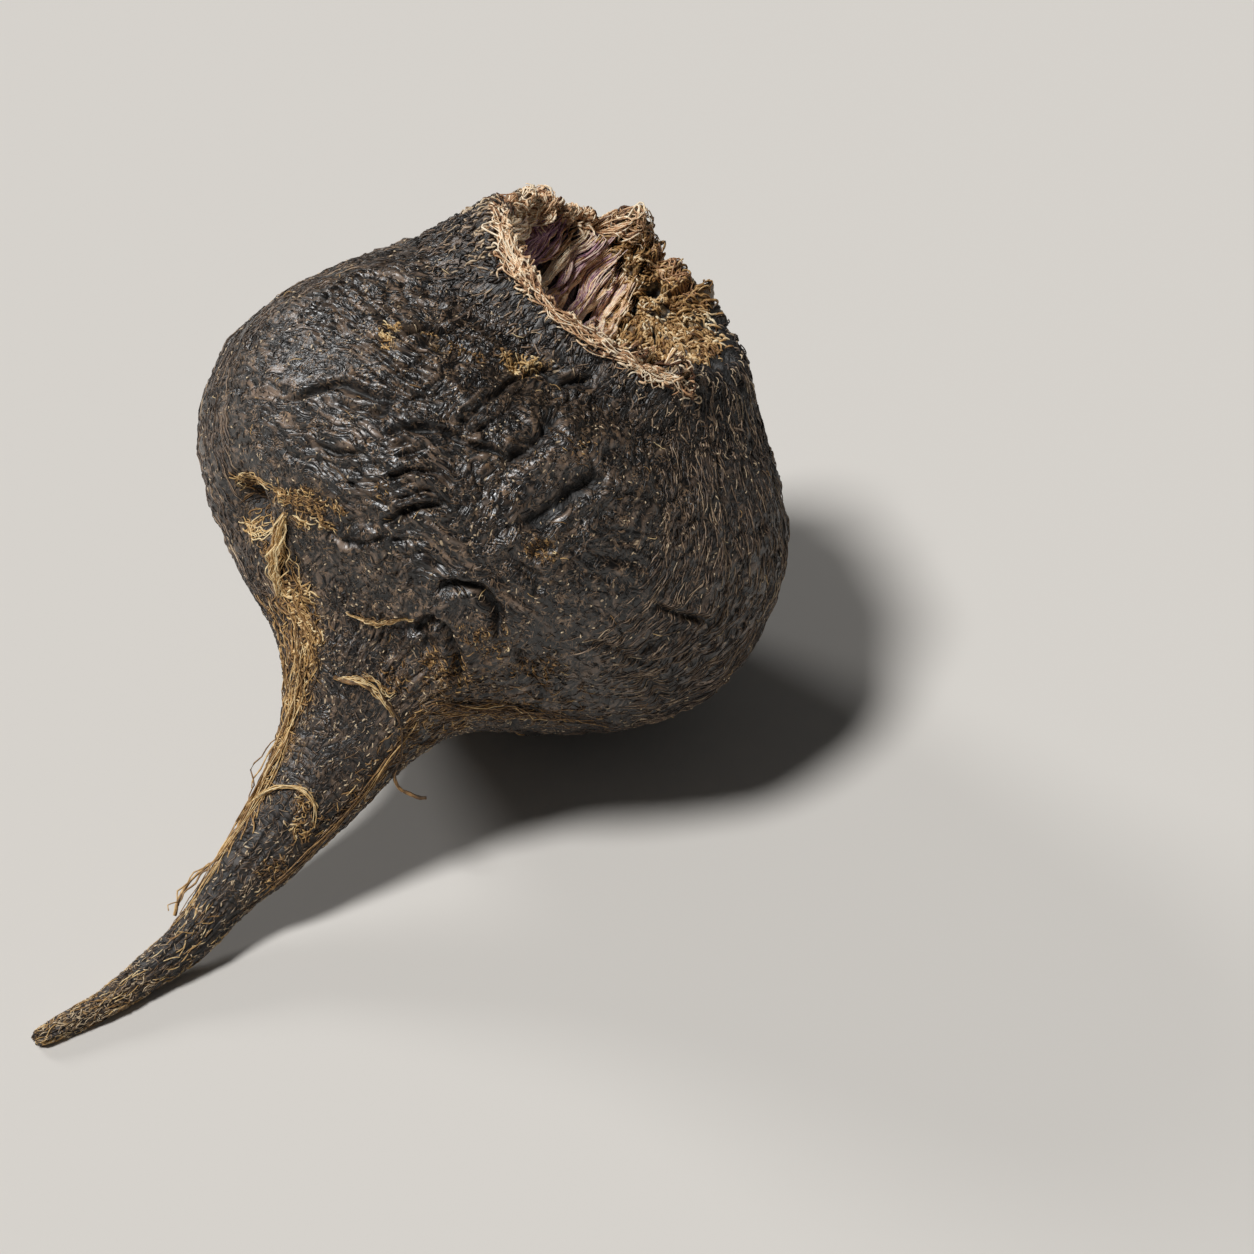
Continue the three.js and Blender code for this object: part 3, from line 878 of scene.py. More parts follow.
def crawl(along, angle, heading, lengths, steps, curl, lift, rng, waver=0.15):
    # Paths that lie on the skin: from each start they step along the surface in their heading (0 is
    # towards the tip), which turns by curl in all and by waver at random at each step, and they
    # stand off it by lift, most in their middle.
    count = len(along)
    t = np.linspace(0, 1, steps)
    turn = heading[:, None] + curl[:, None] * (t - 0.5) + waver * rng.normal(size=(count, steps)).cumsum(1)
    stride = lengths[:, None] / (steps - 1)
    lengthwise = np.cumsum(np.cos(turn) * stride, 1) - np.cos(turn[:, :1]) * stride
    crosswise = np.cumsum(np.sin(turn) * stride, 1) - np.sin(turn[:, :1]) * stride
    placeAlong = np.clip(along[:, None] + lengthwise, 0.3, rootLength - 0.3)
    placeAngle = angle[:, None] + crosswise / girthRadius(placeAlong)
    rise = lift[:, None] * (0.3 + 0.7 * np.sin(np.pi * t))
    return skinPoint(placeAlong, placeAngle, rise)[0]


def girthRadius(along):
    # The smooth root's radius, kept from nearly nothing at the tip.
    return np.maximum(np.interp(along, outlineLength, outlineSamples[:, 1]), 0.7)


def bundle(stops, count, spread, rng, steps, cover, wander, drawnIn):
    # Strands side by side along a course over the skin, given as (along, degrees, lift) stops. Each
    # covers its own stretch of it and keeps its own offset, which sways in slow waves. A bundle that
    # is drawn in has its offsets times sin(pi share along it)^0.7.
    samples = 300
    course = catmullRom(stops, samples, True)
    share = rng.uniform(*cover, count)
    first = rng.uniform(0, 1, count) * (1 - share)
    t = first[:, None] + share[:, None] * np.linspace(0, 1, steps)
    grid = np.linspace(0, 1, samples)
    along, degrees, lift = (np.interp(t, grid, course[:, k]) for k in range(3))
    radius = girthRadius(along)
    slope = [np.gradient(course[:, 0]), np.gradient(np.radians(course[:, 1])) * girthRadius(course[:, 0])]
    slope = unit(np.stack(slope, -1))
    forward, sideways = (np.interp(t, grid, slope[:, k]) for k in range(2))
    phase = rng.uniform(0, 6.3, (2, count, 1))
    sway = np.sin(phase[0] + t * rng.uniform(4, 14, (count, 1))) + 0.6 * np.sin(phase[1] + t * 25)
    offset = spread * (rng.normal(0, 0.6, (count, 1)) + wander * sway)
    if drawnIn:
        offset = offset * (0.15 + 0.85 * np.sin(np.pi * t) ** 0.7)
    rise = lift * rng.uniform(0.2, 1.0, (count, 1)) * (1 + 0.3 * sway)
    return skinPoint(along - offset * sideways, np.radians(degrees) + offset * forward / radius, rise)[0]


def starts(count, zone, rng):
    # Random places in a zone of (first along, last along, first degrees, last degrees), as many to
    # the square millimetre near its narrow end as near its wide one.
    along = rng.uniform(zone[0], zone[1], 6 * count)
    widest = girthRadius(np.linspace(zone[0], zone[1], 50)).max()
    kept = rng.uniform(0, 1, 6 * count) < girthRadius(along) / widest
    along = along[kept][:count]
    return along, np.radians(rng.uniform(zone[2], zone[3], len(along)))


# The felt of short curved fibres over the whole skin, with more of them on the neck and tap root. A
# pale share of them is shorter, thicker and brighter.
skinFelt = {
    "pieces": ("skinFeltA", "skinFeltB", "skinFeltC"),
    "zones": [(16000, (15, rootLength - 1, 0, 360)), (5000, (64, rootLength - 1, 0, 360))],
    "length": (0.18, 0.5),
    "thick": (0.03, 0.05),
    "lift": 0.05,
    "paleShare": 0.09,
    "neckPaleShare": 0.07,
    "paleLength": 0.55,
    "paleThick": 0.6,
    "paleShade": 0.75,
    "seed": 3,
}


def marginShare(angle):
    # The two sides of the root, where the fibres lie down its length.
    return np.maximum(bell(np.cos(angle - math.radians(215)) - 1, 0.35), bell(np.cos(angle) - 1, 0.25))


def makeFelt(material):
    # Fibres lie at any angle, but for the combed share of them, which lie down the root. They are tan
    # where the skin is, and split over three pieces.
    look = skinFelt
    rng = np.random.default_rng(look["seed"])
    steps = 4
    along, angle = np.concatenate([starts(number, zone, rng) for number, zone in look["zones"]], axis=1)
    count = len(along)
    base = smoothPoint(along, angle)
    combed = np.maximum(0.75 * marginShare(angle), 0.8 * smoothStep(along, 68, 80))
    heading = rng.uniform(0, np.pi, count)
    heading = np.where(rng.uniform(0, 1, count) < combed, rng.normal(0, 0.4, count), heading)
    lengths = rng.uniform(*look["length"], count) * (1 + 0.8 * combed)
    marks = skinMarks(base, 0 * along, along, angle)
    shade = 0.6 * rng.beta(1.1, 4.5, count) + 0.5 * marks["tan"]
    shade += 0.15 * marks["dullAndShaded"] * rng.uniform(0, 1.4, count)
    shade += 0.22 * marks["brown"] * rng.uniform(0, 1.6, count)
    pale = rng.uniform(0, 1, count) < look["paleShare"] + look["neckPaleShare"] * smoothStep(along, 64, 76)
    shade = shade + look["paleShade"] * pale
    lengths = np.where(pale, look["paleLength"], 1) * lengths
    lift = np.full(count, look["lift"])
    paths = crawl(along, angle, heading, lengths, steps, rng.normal(0, 0.6, count), lift, rng)
    radii = taper(count, steps, rng.uniform(*look["thick"], count) * (1 + look["paleThick"] * pale), rng)
    for name, part in zip(look["pieces"], np.array_split(np.arange(count), len(look["pieces"]))):
        tubes(name, [(paths[part], radii[part], shade[part])], 3, material)


def tuft(count, size, mean, spread, shared, rng):
    # A value for each strand, most of it the same for the strands of one tuft.
    member = rng.integers(0, max(count // size, 1), count)
    return mean + spread * (shared * rng.normal(size=count)[member] + (1 - shared) * rng.normal(size=count))


# Longer hairs: (zone, count, heading, its spread, length, thickness, lift, shade, its spread)
skinHairs = {
    "grey": [
        # streaks down the right side, the left margin and the back
        ((14.2, 52, 176, 238), 1700, 0.0, 0.12, (0.9, 2.8), (0.03, 0.055), 0.06, 0.38, 0.17),
        ((24, 66, 335, 372), 420, 0.0, 0.15, (1.2, 3.6), (0.03, 0.055), 0.06, 0.3, 0.14),
        ((16, 62, 12, 180), 780, 0.0, 0.35, (1.2, 3.6), (0.035, 0.07), 0.09, 0.32, 0.15),
    ],
    "brown": [
        # the root's lower edge, the neck, both edges of the tap root, and its tip
        ((55, 73, 190, 236), 200, 0.5, 0.7, (0.4, 1.2), (0.03, 0.055), 0.08, 0.4, 0.18),
        ((68, 84, 192, 240), 260, 0.1, 0.7, (0.4, 1.2), (0.035, 0.06), 0.1, 0.46, 0.18),
        ((66, 98, 322, 364), 210, 0.0, 0.4, (0.7, 2.2), (0.035, 0.07), 0.14, 0.6, 0.17),
        ((94, 112, 0, 360), 240, 0.0, 0.25, (0.7, 1.9), (0.035, 0.06), 0.05, 0.7, 0.15),
        # wisps that stand up all over
        ((18, 80, 0, 360), 150, 0.8, 1.2, (0.5, 1.3), (0.025, 0.04), 0.25, 0.6, 0.25),
    ],
    "curl": {"grey": 0.2, "brown": 0.45},
    "waver": {"grey": 0.06, "brown": 0.15},
    "seed": 19,
}


def makeHairs(greyFinish, brownFinish):
    # Hairs in loose tufts of four, straight where they are grey and curlier where they are brown.
    look = skinHairs
    rng = np.random.default_rng(look["seed"])
    steps = 8
    for kind, material in (("grey", greyFinish), ("brown", brownFinish)):
        groups = []
        for zone, count, heading, spread, length, thick, lift, shade, shadeSpread in look[kind]:
            along, angle = starts(count, zone, rng)
            count = len(along)
            turned = tuft(count, 4, heading, spread, 0.6, rng)
            raised = lift * rng.uniform(0.2, 1.3, count)
            lengths = rng.uniform(*length, count)
            curl = rng.normal(0, look["curl"][kind], count)
            paths = crawl(along, angle, turned, lengths, steps, curl, raised, rng, look["waver"][kind])
            radii = taper(count, steps, rng.uniform(*thick, count), rng)
            groups.append((paths, radii, rng.normal(shade, shadeSpread, count)))
        tubes(kind + "Hairs", groups, 4, material)


# Patches of curly fibre: (along, angle, radius of the patch, strands, shade, length, thickness)
fibrePatches = {
    "places": [
        # the lace beside the torn root, the hollow's rim, and the two open pits at the shoulder
        (55.2, 307.5, 2.0, 170, 0.54, (0.4, 1.0), 0.05), (58, 311, 0.6, 24, 0.7, (0.4, 1.0), 0.055),
        (54.6, 299.8, 0.6, 26, 0.66, (0.4, 0.9), 0.05), (57.4, 303, 0.6, 30, 0.72, (0.4, 0.9), 0.055),
        (58.6, 334, 2.0, 170, 0.3, (0.5, 1.4), 0.055),
        (55.6, 316, 1.0, 60, 0.62, (0.4, 1.0), 0.055), (56, 336, 1.0, 40, 0.62, (0.4, 1.0), 0.055),
        (60.8, 342, 0.8, 34, 0.74, (0.4, 0.9), 0.06), (60.5, 325, 1.0, 50, 0.62, (0.4, 1.1), 0.055),
        # the curly net down the neck's left edge
        (63, 334, 1.2, 40, 0.6, (0.5, 1.2), 0.05), (66.5, 326, 1.3, 50, 0.66, (0.7, 1.9), 0.085),
        (69, 330, 1.4, 60, 0.68, (0.7, 1.9), 0.085), (71, 320, 1.2, 40, 0.66, (0.6, 1.6), 0.075),
        (73, 332, 1.4, 60, 0.68, (0.7, 1.8), 0.08), (76.5, 335, 1.3, 60, 0.64, (0.5, 1.3), 0.065),
        (80, 337, 1.1, 60, 0.64, (0.5, 1.2), 0.055), (84, 339, 1.0, 50, 0.62, (0.5, 1.1), 0.05),
        (31.8, 309, 0.6, 30, 0.76, (0.25, 0.6), 0.065), (33.6, 307, 0.65, 40, 0.74, (0.25, 0.6), 0.065),
        (35, 305, 0.4, 20, 0.7, (0.25, 0.6), 0.06), (29, 303.5, 0.8, 26, 0.42, (0.2, 0.5), 0.045),
        (27.6, 298, 1.0, 36, 0.45, (0.2, 0.5), 0.045), (27, 292, 0.9, 26, 0.42, (0.2, 0.5), 0.045),
        (24, 285, 0.8, 60, 0.82, (0.3, 0.7), 0.07), (22.6, 283, 0.9, 50, 0.8, (0.3, 0.8), 0.07),
        (24, 289, 0.6, 20, 0.62, (0.3, 0.6), 0.06),
        # rubbed spots on the front and round the lobe
        (46, 258, 1.5, 60, 0.48, (0.2, 0.6), 0.05), (50, 290, 1.0, 14, 0.5, (0.2, 0.6), 0.045),
        (59, 251, 2.2, 80, 0.44, (0.2, 0.7), 0.05), (66.5, 246, 2.6, 150, 0.46, (0.3, 0.8), 0.05),
        (58, 233, 2.4, 70, 0.42, (0.2, 0.7), 0.05), (71, 262, 1.5, 40, 0.42, (0.2, 0.7), 0.05),
        (83.3, 270, 0.9, 34, 0.62, (0.3, 0.8), 0.055), (85, 252, 1.3, 60, 0.5, (0.3, 0.8), 0.055),
        (89, 236, 1.5, 60, 0.48, (0.3, 0.8), 0.055), (31, 262, 2.2, 30, 0.44, (0.2, 0.6), 0.045),
        # and some at the back and below
        (33, 60, 1.3, 60, 0.66, (0.6, 1.5), 0.07), (56, 112, 1.6, 80, 0.6, (0.8, 1.8), 0.07),
        (44, 95, 1.6, 40, 0.52, (0.6, 1.4), 0.055), (62, 150, 2.2, 60, 0.52, (0.8, 1.8), 0.06),
    ],
    "seed": 37,
}


def makePatches(material):
    # Curls over a disc of skin, at every heading and as thick at its edge as in its middle.
    rng = np.random.default_rng(fibrePatches["seed"])
    steps = 8
    groups = []
    for along, angle, radius, count, shade, length, thick in fibrePatches["places"]:
        out = radius * np.sqrt(rng.uniform(0, 1, count)) * rng.uniform(0.7, 1.2, count)
        turn = rng.uniform(0, 2 * np.pi, count)
        first = along + out * np.cos(turn)
        side = np.radians(angle) + out * np.sin(turn) / girthRadius(np.full(count, along))
        paths = crawl(first, side, rng.uniform(0, 6.3, count), rng.uniform(*length, count), steps,
                      rng.normal(0, 2.6, count), rng.uniform(0.04, 0.22, count), rng)
        radii = taper(count, steps, thick * rng.uniform(0.6, 1.3, count), rng)
        groups.append((paths, radii, rng.normal(shade, 0.22, count)))
    tubes("patchFibre", groups, 4, material)


# Fibre in the crown. Cords cross the dish: (place across it, strands, half width, shade, purple). The
# clumps stand on the rim: (strands, zone). Of the skirt's dashes below it, darkShare have darkShade.
crownFibres = {
    "cords": [(12.0, 40, 0.4, 0.9, False), (10.8, 44, 0.4, 0.86, False), (9.7, 44, 0.42, 0.42, True),
              (8.7, 48, 0.42, 0.36, True), (7.6, 44, 0.38, 0.5, True), (6.7, 22, 0.24, 0.76, False),
              (5.5, 60, 0.4, 0.88, False), (4.4, 80, 0.5, 0.62, True), (3.3, 30, 0.26, 0.7, False),
              (1.9, 90, 0.55, 0.74, True), (0.9, 50, 0.28, 0.92, False), (0.1, 64, 0.42, 0.66, True),
              (-0.8, 56, 0.34, 0.86, False), (-1.7, 44, 0.36, 0.76, False)],
    "cordSteps": 14,
    "cordMiddle": (-2, 11),
    "cordLength": (7, 14),
    "cordThick": (0.05, 0.09),
    "cordBrighter": 0.08,
    "strayShare": 0.17,
    "dishSquared": 172,
    "pithCount": 1900,
    "pithZone": (2, 14.2, 0, 360),
    "pithLength": (0.4, 1.2),
    "pithThick": (0.06, 0.13),
    "rimCount": 1150,
    "rimZone": (13.6, 17.2, 225, 450),
    "rimClumps": [(240, (13.4, 15.6, 318, 352)), (220, (14.4, 16.9, 298, 322)), (340, (12.8, 14.9, 32, 68))],
    "rimLength": (0.4, 1.5),
    "rimThick": (0.05, 0.12),
    "skirtCount": 3100,
    "skirtZone": (13.6, 23, 110, 425),
    "skirtLength": (0.4, 1.3),
    "skirtThick": (0.04, 0.085),
    "darkShare": 0.62,
    "darkShade": 0.16,
    "paleShade": 0.78,
    "seed": 29,
}


def makeCords(purpleFinish, strawFinish):
    # Straight over the dish from the near rim to the far one. The strands of a cord lie side by side
    # on a round back, offset^2 + rise^2 = halfWidth^2, sway together and fray at their ends. None
    # passes the dish's edge, x^2 + y^2 = dishSquared. A stray share has the other colour.
    look = crownFibres
    rng = np.random.default_rng(look["seed"])
    place, strands, halfWidth, tone, purple = (np.array(column) for column in zip(*look["cords"]))
    member = np.repeat(np.arange(len(place)), strands)
    count = len(member)
    t = np.linspace(0, 1, look["cordSteps"])
    length = rng.uniform(*look["cordLength"], count)
    first = rng.uniform(*look["cordMiddle"], count) - length / 2
    edge = np.sqrt(look["dishSquared"] - place[member] ** 2)
    end = np.minimum(10.6 + 0.35 * place[member].clip(0, 6), edge)
    end = end + rng.normal(0, 0.5, count)
    y = np.minimum(first + length, end)[:, None] + (t - 1) * length[:, None]
    phase = rng.uniform(0, 6.3, (2, len(place)))[:, member, None]
    sway = 0.26 * np.sin(phase[0] + y / 2.6) + 0.1 * np.sin(phase[1] + y / 0.9)
    side = rng.uniform(-1, 1, (count, 1))
    frayed = 1 + 0.16 * np.abs(y - 5)
    waves = 0.14 * np.sin(rng.uniform(0, 6.3, (count, 1)) + y / 0.7)
    offset = halfWidth[member][:, None] * (side * frayed + waves)
    x = place[member][:, None] + sway + offset - 0.06 * y
    reach = np.hypot(x, y)
    reached = np.minimum(reach, 14.0 + 0.1 * (reach - 14.0))
    back = np.sqrt(1 - 0.95 * side**2)
    arch = 1.5 * halfWidth[member][:, None] * back * (0.3 + 0.7 * np.sin(np.pi * t))
    rise = 0.12 + arch * rng.uniform(0.8, 1.2, (count, 1))
    paths = skinPoint(reached, np.arctan2(y, x), rise)[0]
    radii = taper(count, look["cordSteps"], rng.uniform(*look["cordThick"], count), rng)
    shade = rng.normal(tone[member] + look["cordBrighter"], 0.13)
    mauve = purple[member] ^ (rng.uniform(0, 1, count) < look["strayShare"])
    for name, part, material in (("stalkCords", mauve, purpleFinish), ("strawCords", ~mauve, strawFinish)):
        tubes(name, [(paths[part], radii[part], shade[part])], 5, material)


def makePith(material):
    # Short fat curls over the sponge, none over its holes, paler in clumps.
    look = crownFibres
    rng = np.random.default_rng(look["seed"] + 1)
    along, angle = starts(4 * look["pithCount"], look["pithZone"], rng)
    base = smoothPoint(along, angle)
    cover = spongeShare(base, along, angle) * (1 - pithHoles(base))
    cover = cover * (1 - smoothStep(along + 1.2 * wornRim(angle), 13.4, 14.8))
    kept = np.flatnonzero(rng.uniform(0, 1, len(along)) < cover)[:look["pithCount"]]
    along, angle, base = along[kept], angle[kept], base[kept]
    count = len(kept)
    turned = tuft(count, 7, 0.0, 2.5, 0.6, rng)
    steps = 8
    paths = crawl(along, angle, turned, rng.uniform(*look["pithLength"], count), steps,
                  rng.normal(0, 2.2, count), rng.uniform(0.05, 0.45, count), rng)
    radii = taper(count, steps, rng.uniform(*look["pithThick"], count), rng)
    shade = 0.56 + 0.45 * latticeNoise(base / 1.8, 330) + 0.2 * rng.normal(size=count)
    tubes("pithFibre", [(paths, radii, np.maximum(shade, 0.05))], 4, material)


def makeRim(rimFinish, skirtFinish):
    # Frayed ends along the rim, none on its far left but in the clumps. Outside it a skirt of short
    # dashes runs down the root, dark and pale by turns, and thicker and curlier on the shoulder.
    look = crownFibres
    rng = np.random.default_rng(look["seed"] + 2)
    steps = 7
    along, angle = starts(look["rimCount"], look["rimZone"], rng)
    kept = rng.uniform(0, 1, len(along)) > smoothStep(np.cos(angle - math.radians(5)), 0.55, 0.85)
    extra = [starts(number, zone, rng) for number, zone in look["rimClumps"]]
    along = np.concatenate([along[kept]] + [clump[0] for clump in extra])
    angle = np.concatenate([angle[kept]] + [clump[1] for clump in extra])
    count = len(along)
    turned = tuft(count, 4, 1.4, 0.8, 0.5, rng)
    paths = crawl(along, angle, turned, rng.uniform(*look["rimLength"], count), steps,
                  rng.normal(0, 1.8, count), rng.uniform(0.1, 0.6, count), rng)
    radii = taper(count, steps, rng.uniform(*look["rimThick"], count), rng)
    shade = np.where(rng.uniform(0, 1, count) < 0.35, 0.25, 0.88) + 0.12 * rng.normal(size=count)
    tubes("rimFibre", [(paths, radii, shade)], 4, rimFinish)
    along, angle = starts(look["skirtCount"], look["skirtZone"], rng)
    below = along - look["skirtZone"][0]
    shoulder = smoothStep(np.cos(angle - math.radians(352)), 0.6, 0.9) * (1 - smoothStep(along, 17.5, 20))
    kept = rng.uniform(0, 1, len(along)) < 1.1 - 0.08 * below
    along, angle, below, shoulder = along[kept], angle[kept], below[kept], shoulder[kept]
    count = len(along)
    turned = tuft(count, 5, 0.1, 0.8, 0.6, rng) * (1.2 - 0.09 * below)
    paths = crawl(along, angle, turned, rng.uniform(*look["skirtLength"], count), steps,
                  rng.normal(0, 0.6 + 1.2 * shoulder), rng.uniform(0.02, 0.13, count) * (1 + shoulder), rng)
    radii = taper(count, steps, rng.uniform(*look["skirtThick"], count) * (1 + 0.8 * shoulder), rng)
    shade = np.where(rng.uniform(0, 1, count) < look["darkShare"], look["darkShade"], look["paleShade"])
    shade = shade + rng.normal(0, 0.12, count) - 0.05 * below + 0.15 * shoulder
    tubes("skirtFibre", [(paths, radii, shade)], 4, skirtFinish)


# Loose strands and torn bundles: (stops of along, degrees and lift), count, spread, thickness, shade,
# how far the strands wander, and whether the bundle is drawn in at both ends
torn = {
    "bundles": [
        # the torn root at the side: its thick cord, and the net of fibre that runs on from it
        ([(57.4, 315, 0.3), (60, 320, 0.9), (62.8, 326, 1.1), (65, 331, 0.9), (67.6, 338, 0.3)],
         38, 0.55, 0.085, 0.84, 0.16, True),
        ([(57.5, 342, 0.1), (55.8, 337, 0.2), (55.2, 328, 0.3), (55.4, 318, 0.2)],
         13, 0.32, 0.05, 0.7, 0.6, False),
        ([(59.6, 345, 0.1), (61, 342, 0.4), (61.4, 336, 0.4), (61, 330, 0.2)],
         13, 0.25, 0.06, 0.84, 0.7, False),
        ([(61.5, 321, 0.1), (64.5, 323, 0.4), (68, 324, 0.4), (71.5, 320, 0.4), (75, 322, 0.3),
          (79, 328, 0.2)], 14, 0.75, 0.06, 0.62, 0.7, False),
        ([(67, 336, 0.2), (71.5, 331, 0.5), (76, 334, 0.5), (82, 337, 0.4), (90, 342, 0.3), (99, 348, 0.1)],
         18, 0.45, 0.06, 0.68, 0.7, False),
        # the neck's hair and the ring below it
        ([(67.4, 299, 0.1), (67.5, 292, 0.3), (67.2, 286, 0.35), (66.4, 280, 0.3), (64.8, 274, 0.2),
          (63, 270, 0.1)], 9, 0.07, 0.045, 0.86, 0.7, False),
        ([(67.4, 297, 0.1), (67.3, 288, 0.3), (66.2, 280, 0.3), (64.4, 273, 0.1)],
         14, 0.22, 0.035, 0.6, 0.9, False),
        ([(87.1, 358, 0.3), (85.6, 343, 0.5), (84.4, 322, 0.6), (83.4, 305, 0.6), (82.7, 280, 0.5),
          (83, 258, 0.4), (84.4, 240, 0.2)], 11, 0.11, 0.06, 0.84, 0.7, False),
        # the split strand that the fine side root starts from
        ([(73.6, 296, 0.2), (73, 284, 0.35), (72.9, 269, 0.4), (73.2, 256, 0.4), (73.6, 246, 0.3)],
         14, 0.2, 0.06, 0.84, 0.5, True),
        ([(72.4, 282, 0.1), (72.3, 272, 0.3), (72.6, 262, 0.3), (72.2, 254, 0.2)],
         8, 0.2, 0.045, 0.7, 0.7, False),
        # loops that stand off the left side
        ([(79, 348, 0.1), (80, 352, 0.9), (82.5, 354, 1.4), (84.5, 353, 0.8), (86, 350, 0.1)],
         2, 0.1, 0.09, 0.6, 0.5, False),
        ([(69, 350, 0.1), (69.4, 355, 0.8), (71, 357, 0.9), (72.2, 352, 0.1)],
         2, 0.08, 0.08, 0.6, 0.5, False),
        ([(91, 345, 0.2), (92.5, 352, 0.7), (95, 354, 1.1), (97, 352, 1.6)], 2, 0.1, 0.08, 0.66, 0.5, False),
        # the ridge of fibre along the root's lower edge
        ([(73, 236, 0.2), (70.5, 226, 0.4), (67, 216, 0.4), (63, 207, 0.4), (59, 199, 0.3), (54, 192, 0.1)],
         30, 0.8, 0.05, 0.4, 0.7, False),
        ([(72, 232, 0.2), (76, 222, 0.3), (81, 216, 0.3), (87, 214, 0.3), (94, 214, 0.1)],
         20, 0.3, 0.05, 0.46, 0.7, False),
        # a back fringe
        ([(52, 100, 0.1), (57, 104, 0.5), (62, 112, 0.5), (68, 116, 0.3)], 24, 0.8, 0.07, 0.6, 0.6, False),
    ],
    "seed": 41,
}


# The same for the crown's rim
rimStrands = {
    "bundles": [
        # the two straw tufts at the left of the dish
        ([(16.4, 42, 0.2), (14.9, 42, 0.6), (13.6, 41, 0.8), (12, 38, 0.7), (10.4, 35, 0.4)],
         90, 0.95, 0.08, 0.9, 0.3, False),
        ([(15.6, 58, 0.2), (14.4, 57, 0.6), (13.2, 55, 0.7), (11.8, 52, 0.4)],
         50, 0.7, 0.075, 0.84, 0.3, False),
        ([(15.6, 22, 0.1), (14.8, 10, 0.3), (14.2, -4, 0.3), (14, -16, 0.2)],
         16, 0.7, 0.07, 0.45, 0.9, False),
        ([(13.6, 352, 0.2), (14.2, 342, 0.6), (14.8, 330, 0.7), (15.6, 314, 0.6), (16.4, 302, 0.4)],
         60, 0.8, 0.08, 0.88, 0.7, False),
        # long strands among the broken ones of the near rim
        ([(15.2, 318, 0.2), (15.6, 300, 0.5), (16.2, 284, 0.6), (16, 268, 0.6), (15.4, 252, 0.5),
          (14.4, 238, 0.2)], 20, 0.85, 0.07, 0.84, 0.9, False),
        ([(16.4, 312, 0.1), (15.4, 302, 0.6), (16.8, 290, 0.4), (15.4, 280, 0.6), (17, 268, 0.4),
          (15.2, 252, 0.5)], 14, 0.7, 0.065, 0.76, 0.9, False),
        # the far rim, peach on the left and brown on the right
        ([(14.6, 50, 0.1), (14, 62, 0.4), (13.8, 74, 0.5), (13.9, 86, 0.5), (13.6, 97, 0.3)],
         44, 0.5, 0.075, 0.76, 0.6, False),
        ([(13.6, 92, 0.2), (13.4, 106, 0.3), (13.6, 118, 0.3), (13.4, 132, 0.2)],
         30, 0.6, 0.07, 0.5, 0.6, False),
        # stray hairs under the near rim
        ([(16.4, 268, 0.1), (16.4, 258, 0.4), (16.2, 248, 0.5), (16.2, 240, 0.5), (16.8, 232, 0.2)],
         7, 0.3, 0.055, 0.95, 0.8, False),
        ([(15.6, 256, 0.3), (16.2, 248, 0.5), (16.6, 241, 0.4)], 12, 0.7, 0.055, 0.9, 0.8, False),
        # over the mound at the left end
        ([(15.2, 4, 0.1), (14.4, 10, 0.4), (13.4, 16, 0.5), (12.4, 21, 0.4), (11.2, 24, 0.2)],
         80, 0.9, 0.075, 0.8, 0.5, False),
        ([(15.4, 30, 0.2), (14.4, 29, 0.4), (13.3, 27, 0.5), (12.2, 26, 0.3)],
         50, 0.7, 0.075, 0.84, 0.5, False),
    ],
    "seed": 43,
}


def makeTorn(name, look, material):
    # Few strands, or drawn-in ones, run nearly the whole course, and of many each covers a part.
    rng = np.random.default_rng(look["seed"])
    steps = 14
    groups = []
    for stops, count, spread, thick, shade, wander, drawnIn in look["bundles"]:
        cover = (0.6, 1.0) if count <= 12 or drawnIn else (0.2, 0.7)
        paths = bundle(stops, count, spread, rng, steps, cover, wander, drawnIn)
        radii = taper(count, steps, rng.uniform(0.6, 1.1, count) * thick, rng)
        groups.append((paths, radii, rng.normal(shade, 0.19, count)))
    tubes(name, groups, 5, material)


# Two fine side roots, by their routes in mm
sideRoots = {
    "routes": [
        [(-11.6, -25.8, 20), (-10.7, -26.8, 20.2), (-9.2, -27.2, 20.2), (-7.6, -27.7, 19.2),
         (-6.6, -28, 17.8), (-6.1, -28.1, 15.5), (-6.4, -28.1, 13.2), (-6.9, -28.4, 11.6),
         (-6.4, -28.7, 10.4), (-5.3, -29, 9.9), (-4.3, -29.1, 9.8)],
        [(-14.5, -25.5, 16.3), (-15.6, -27.1, 14.5), (-16.8, -28, 12.7), (-18.1, -29, 10.8),
         (-19.3, -30.1, 9.2), (-20.5, -31.5, 7.6), (-21.6, -32.7, 6.2), (-23.3, -33.7, 5.1), (-24.4, -35, 4),
         (-24.8, -35.8, 3)],
    ],
    "thick": 0.2,
    "strands": 7,
    "seed": 47,
}


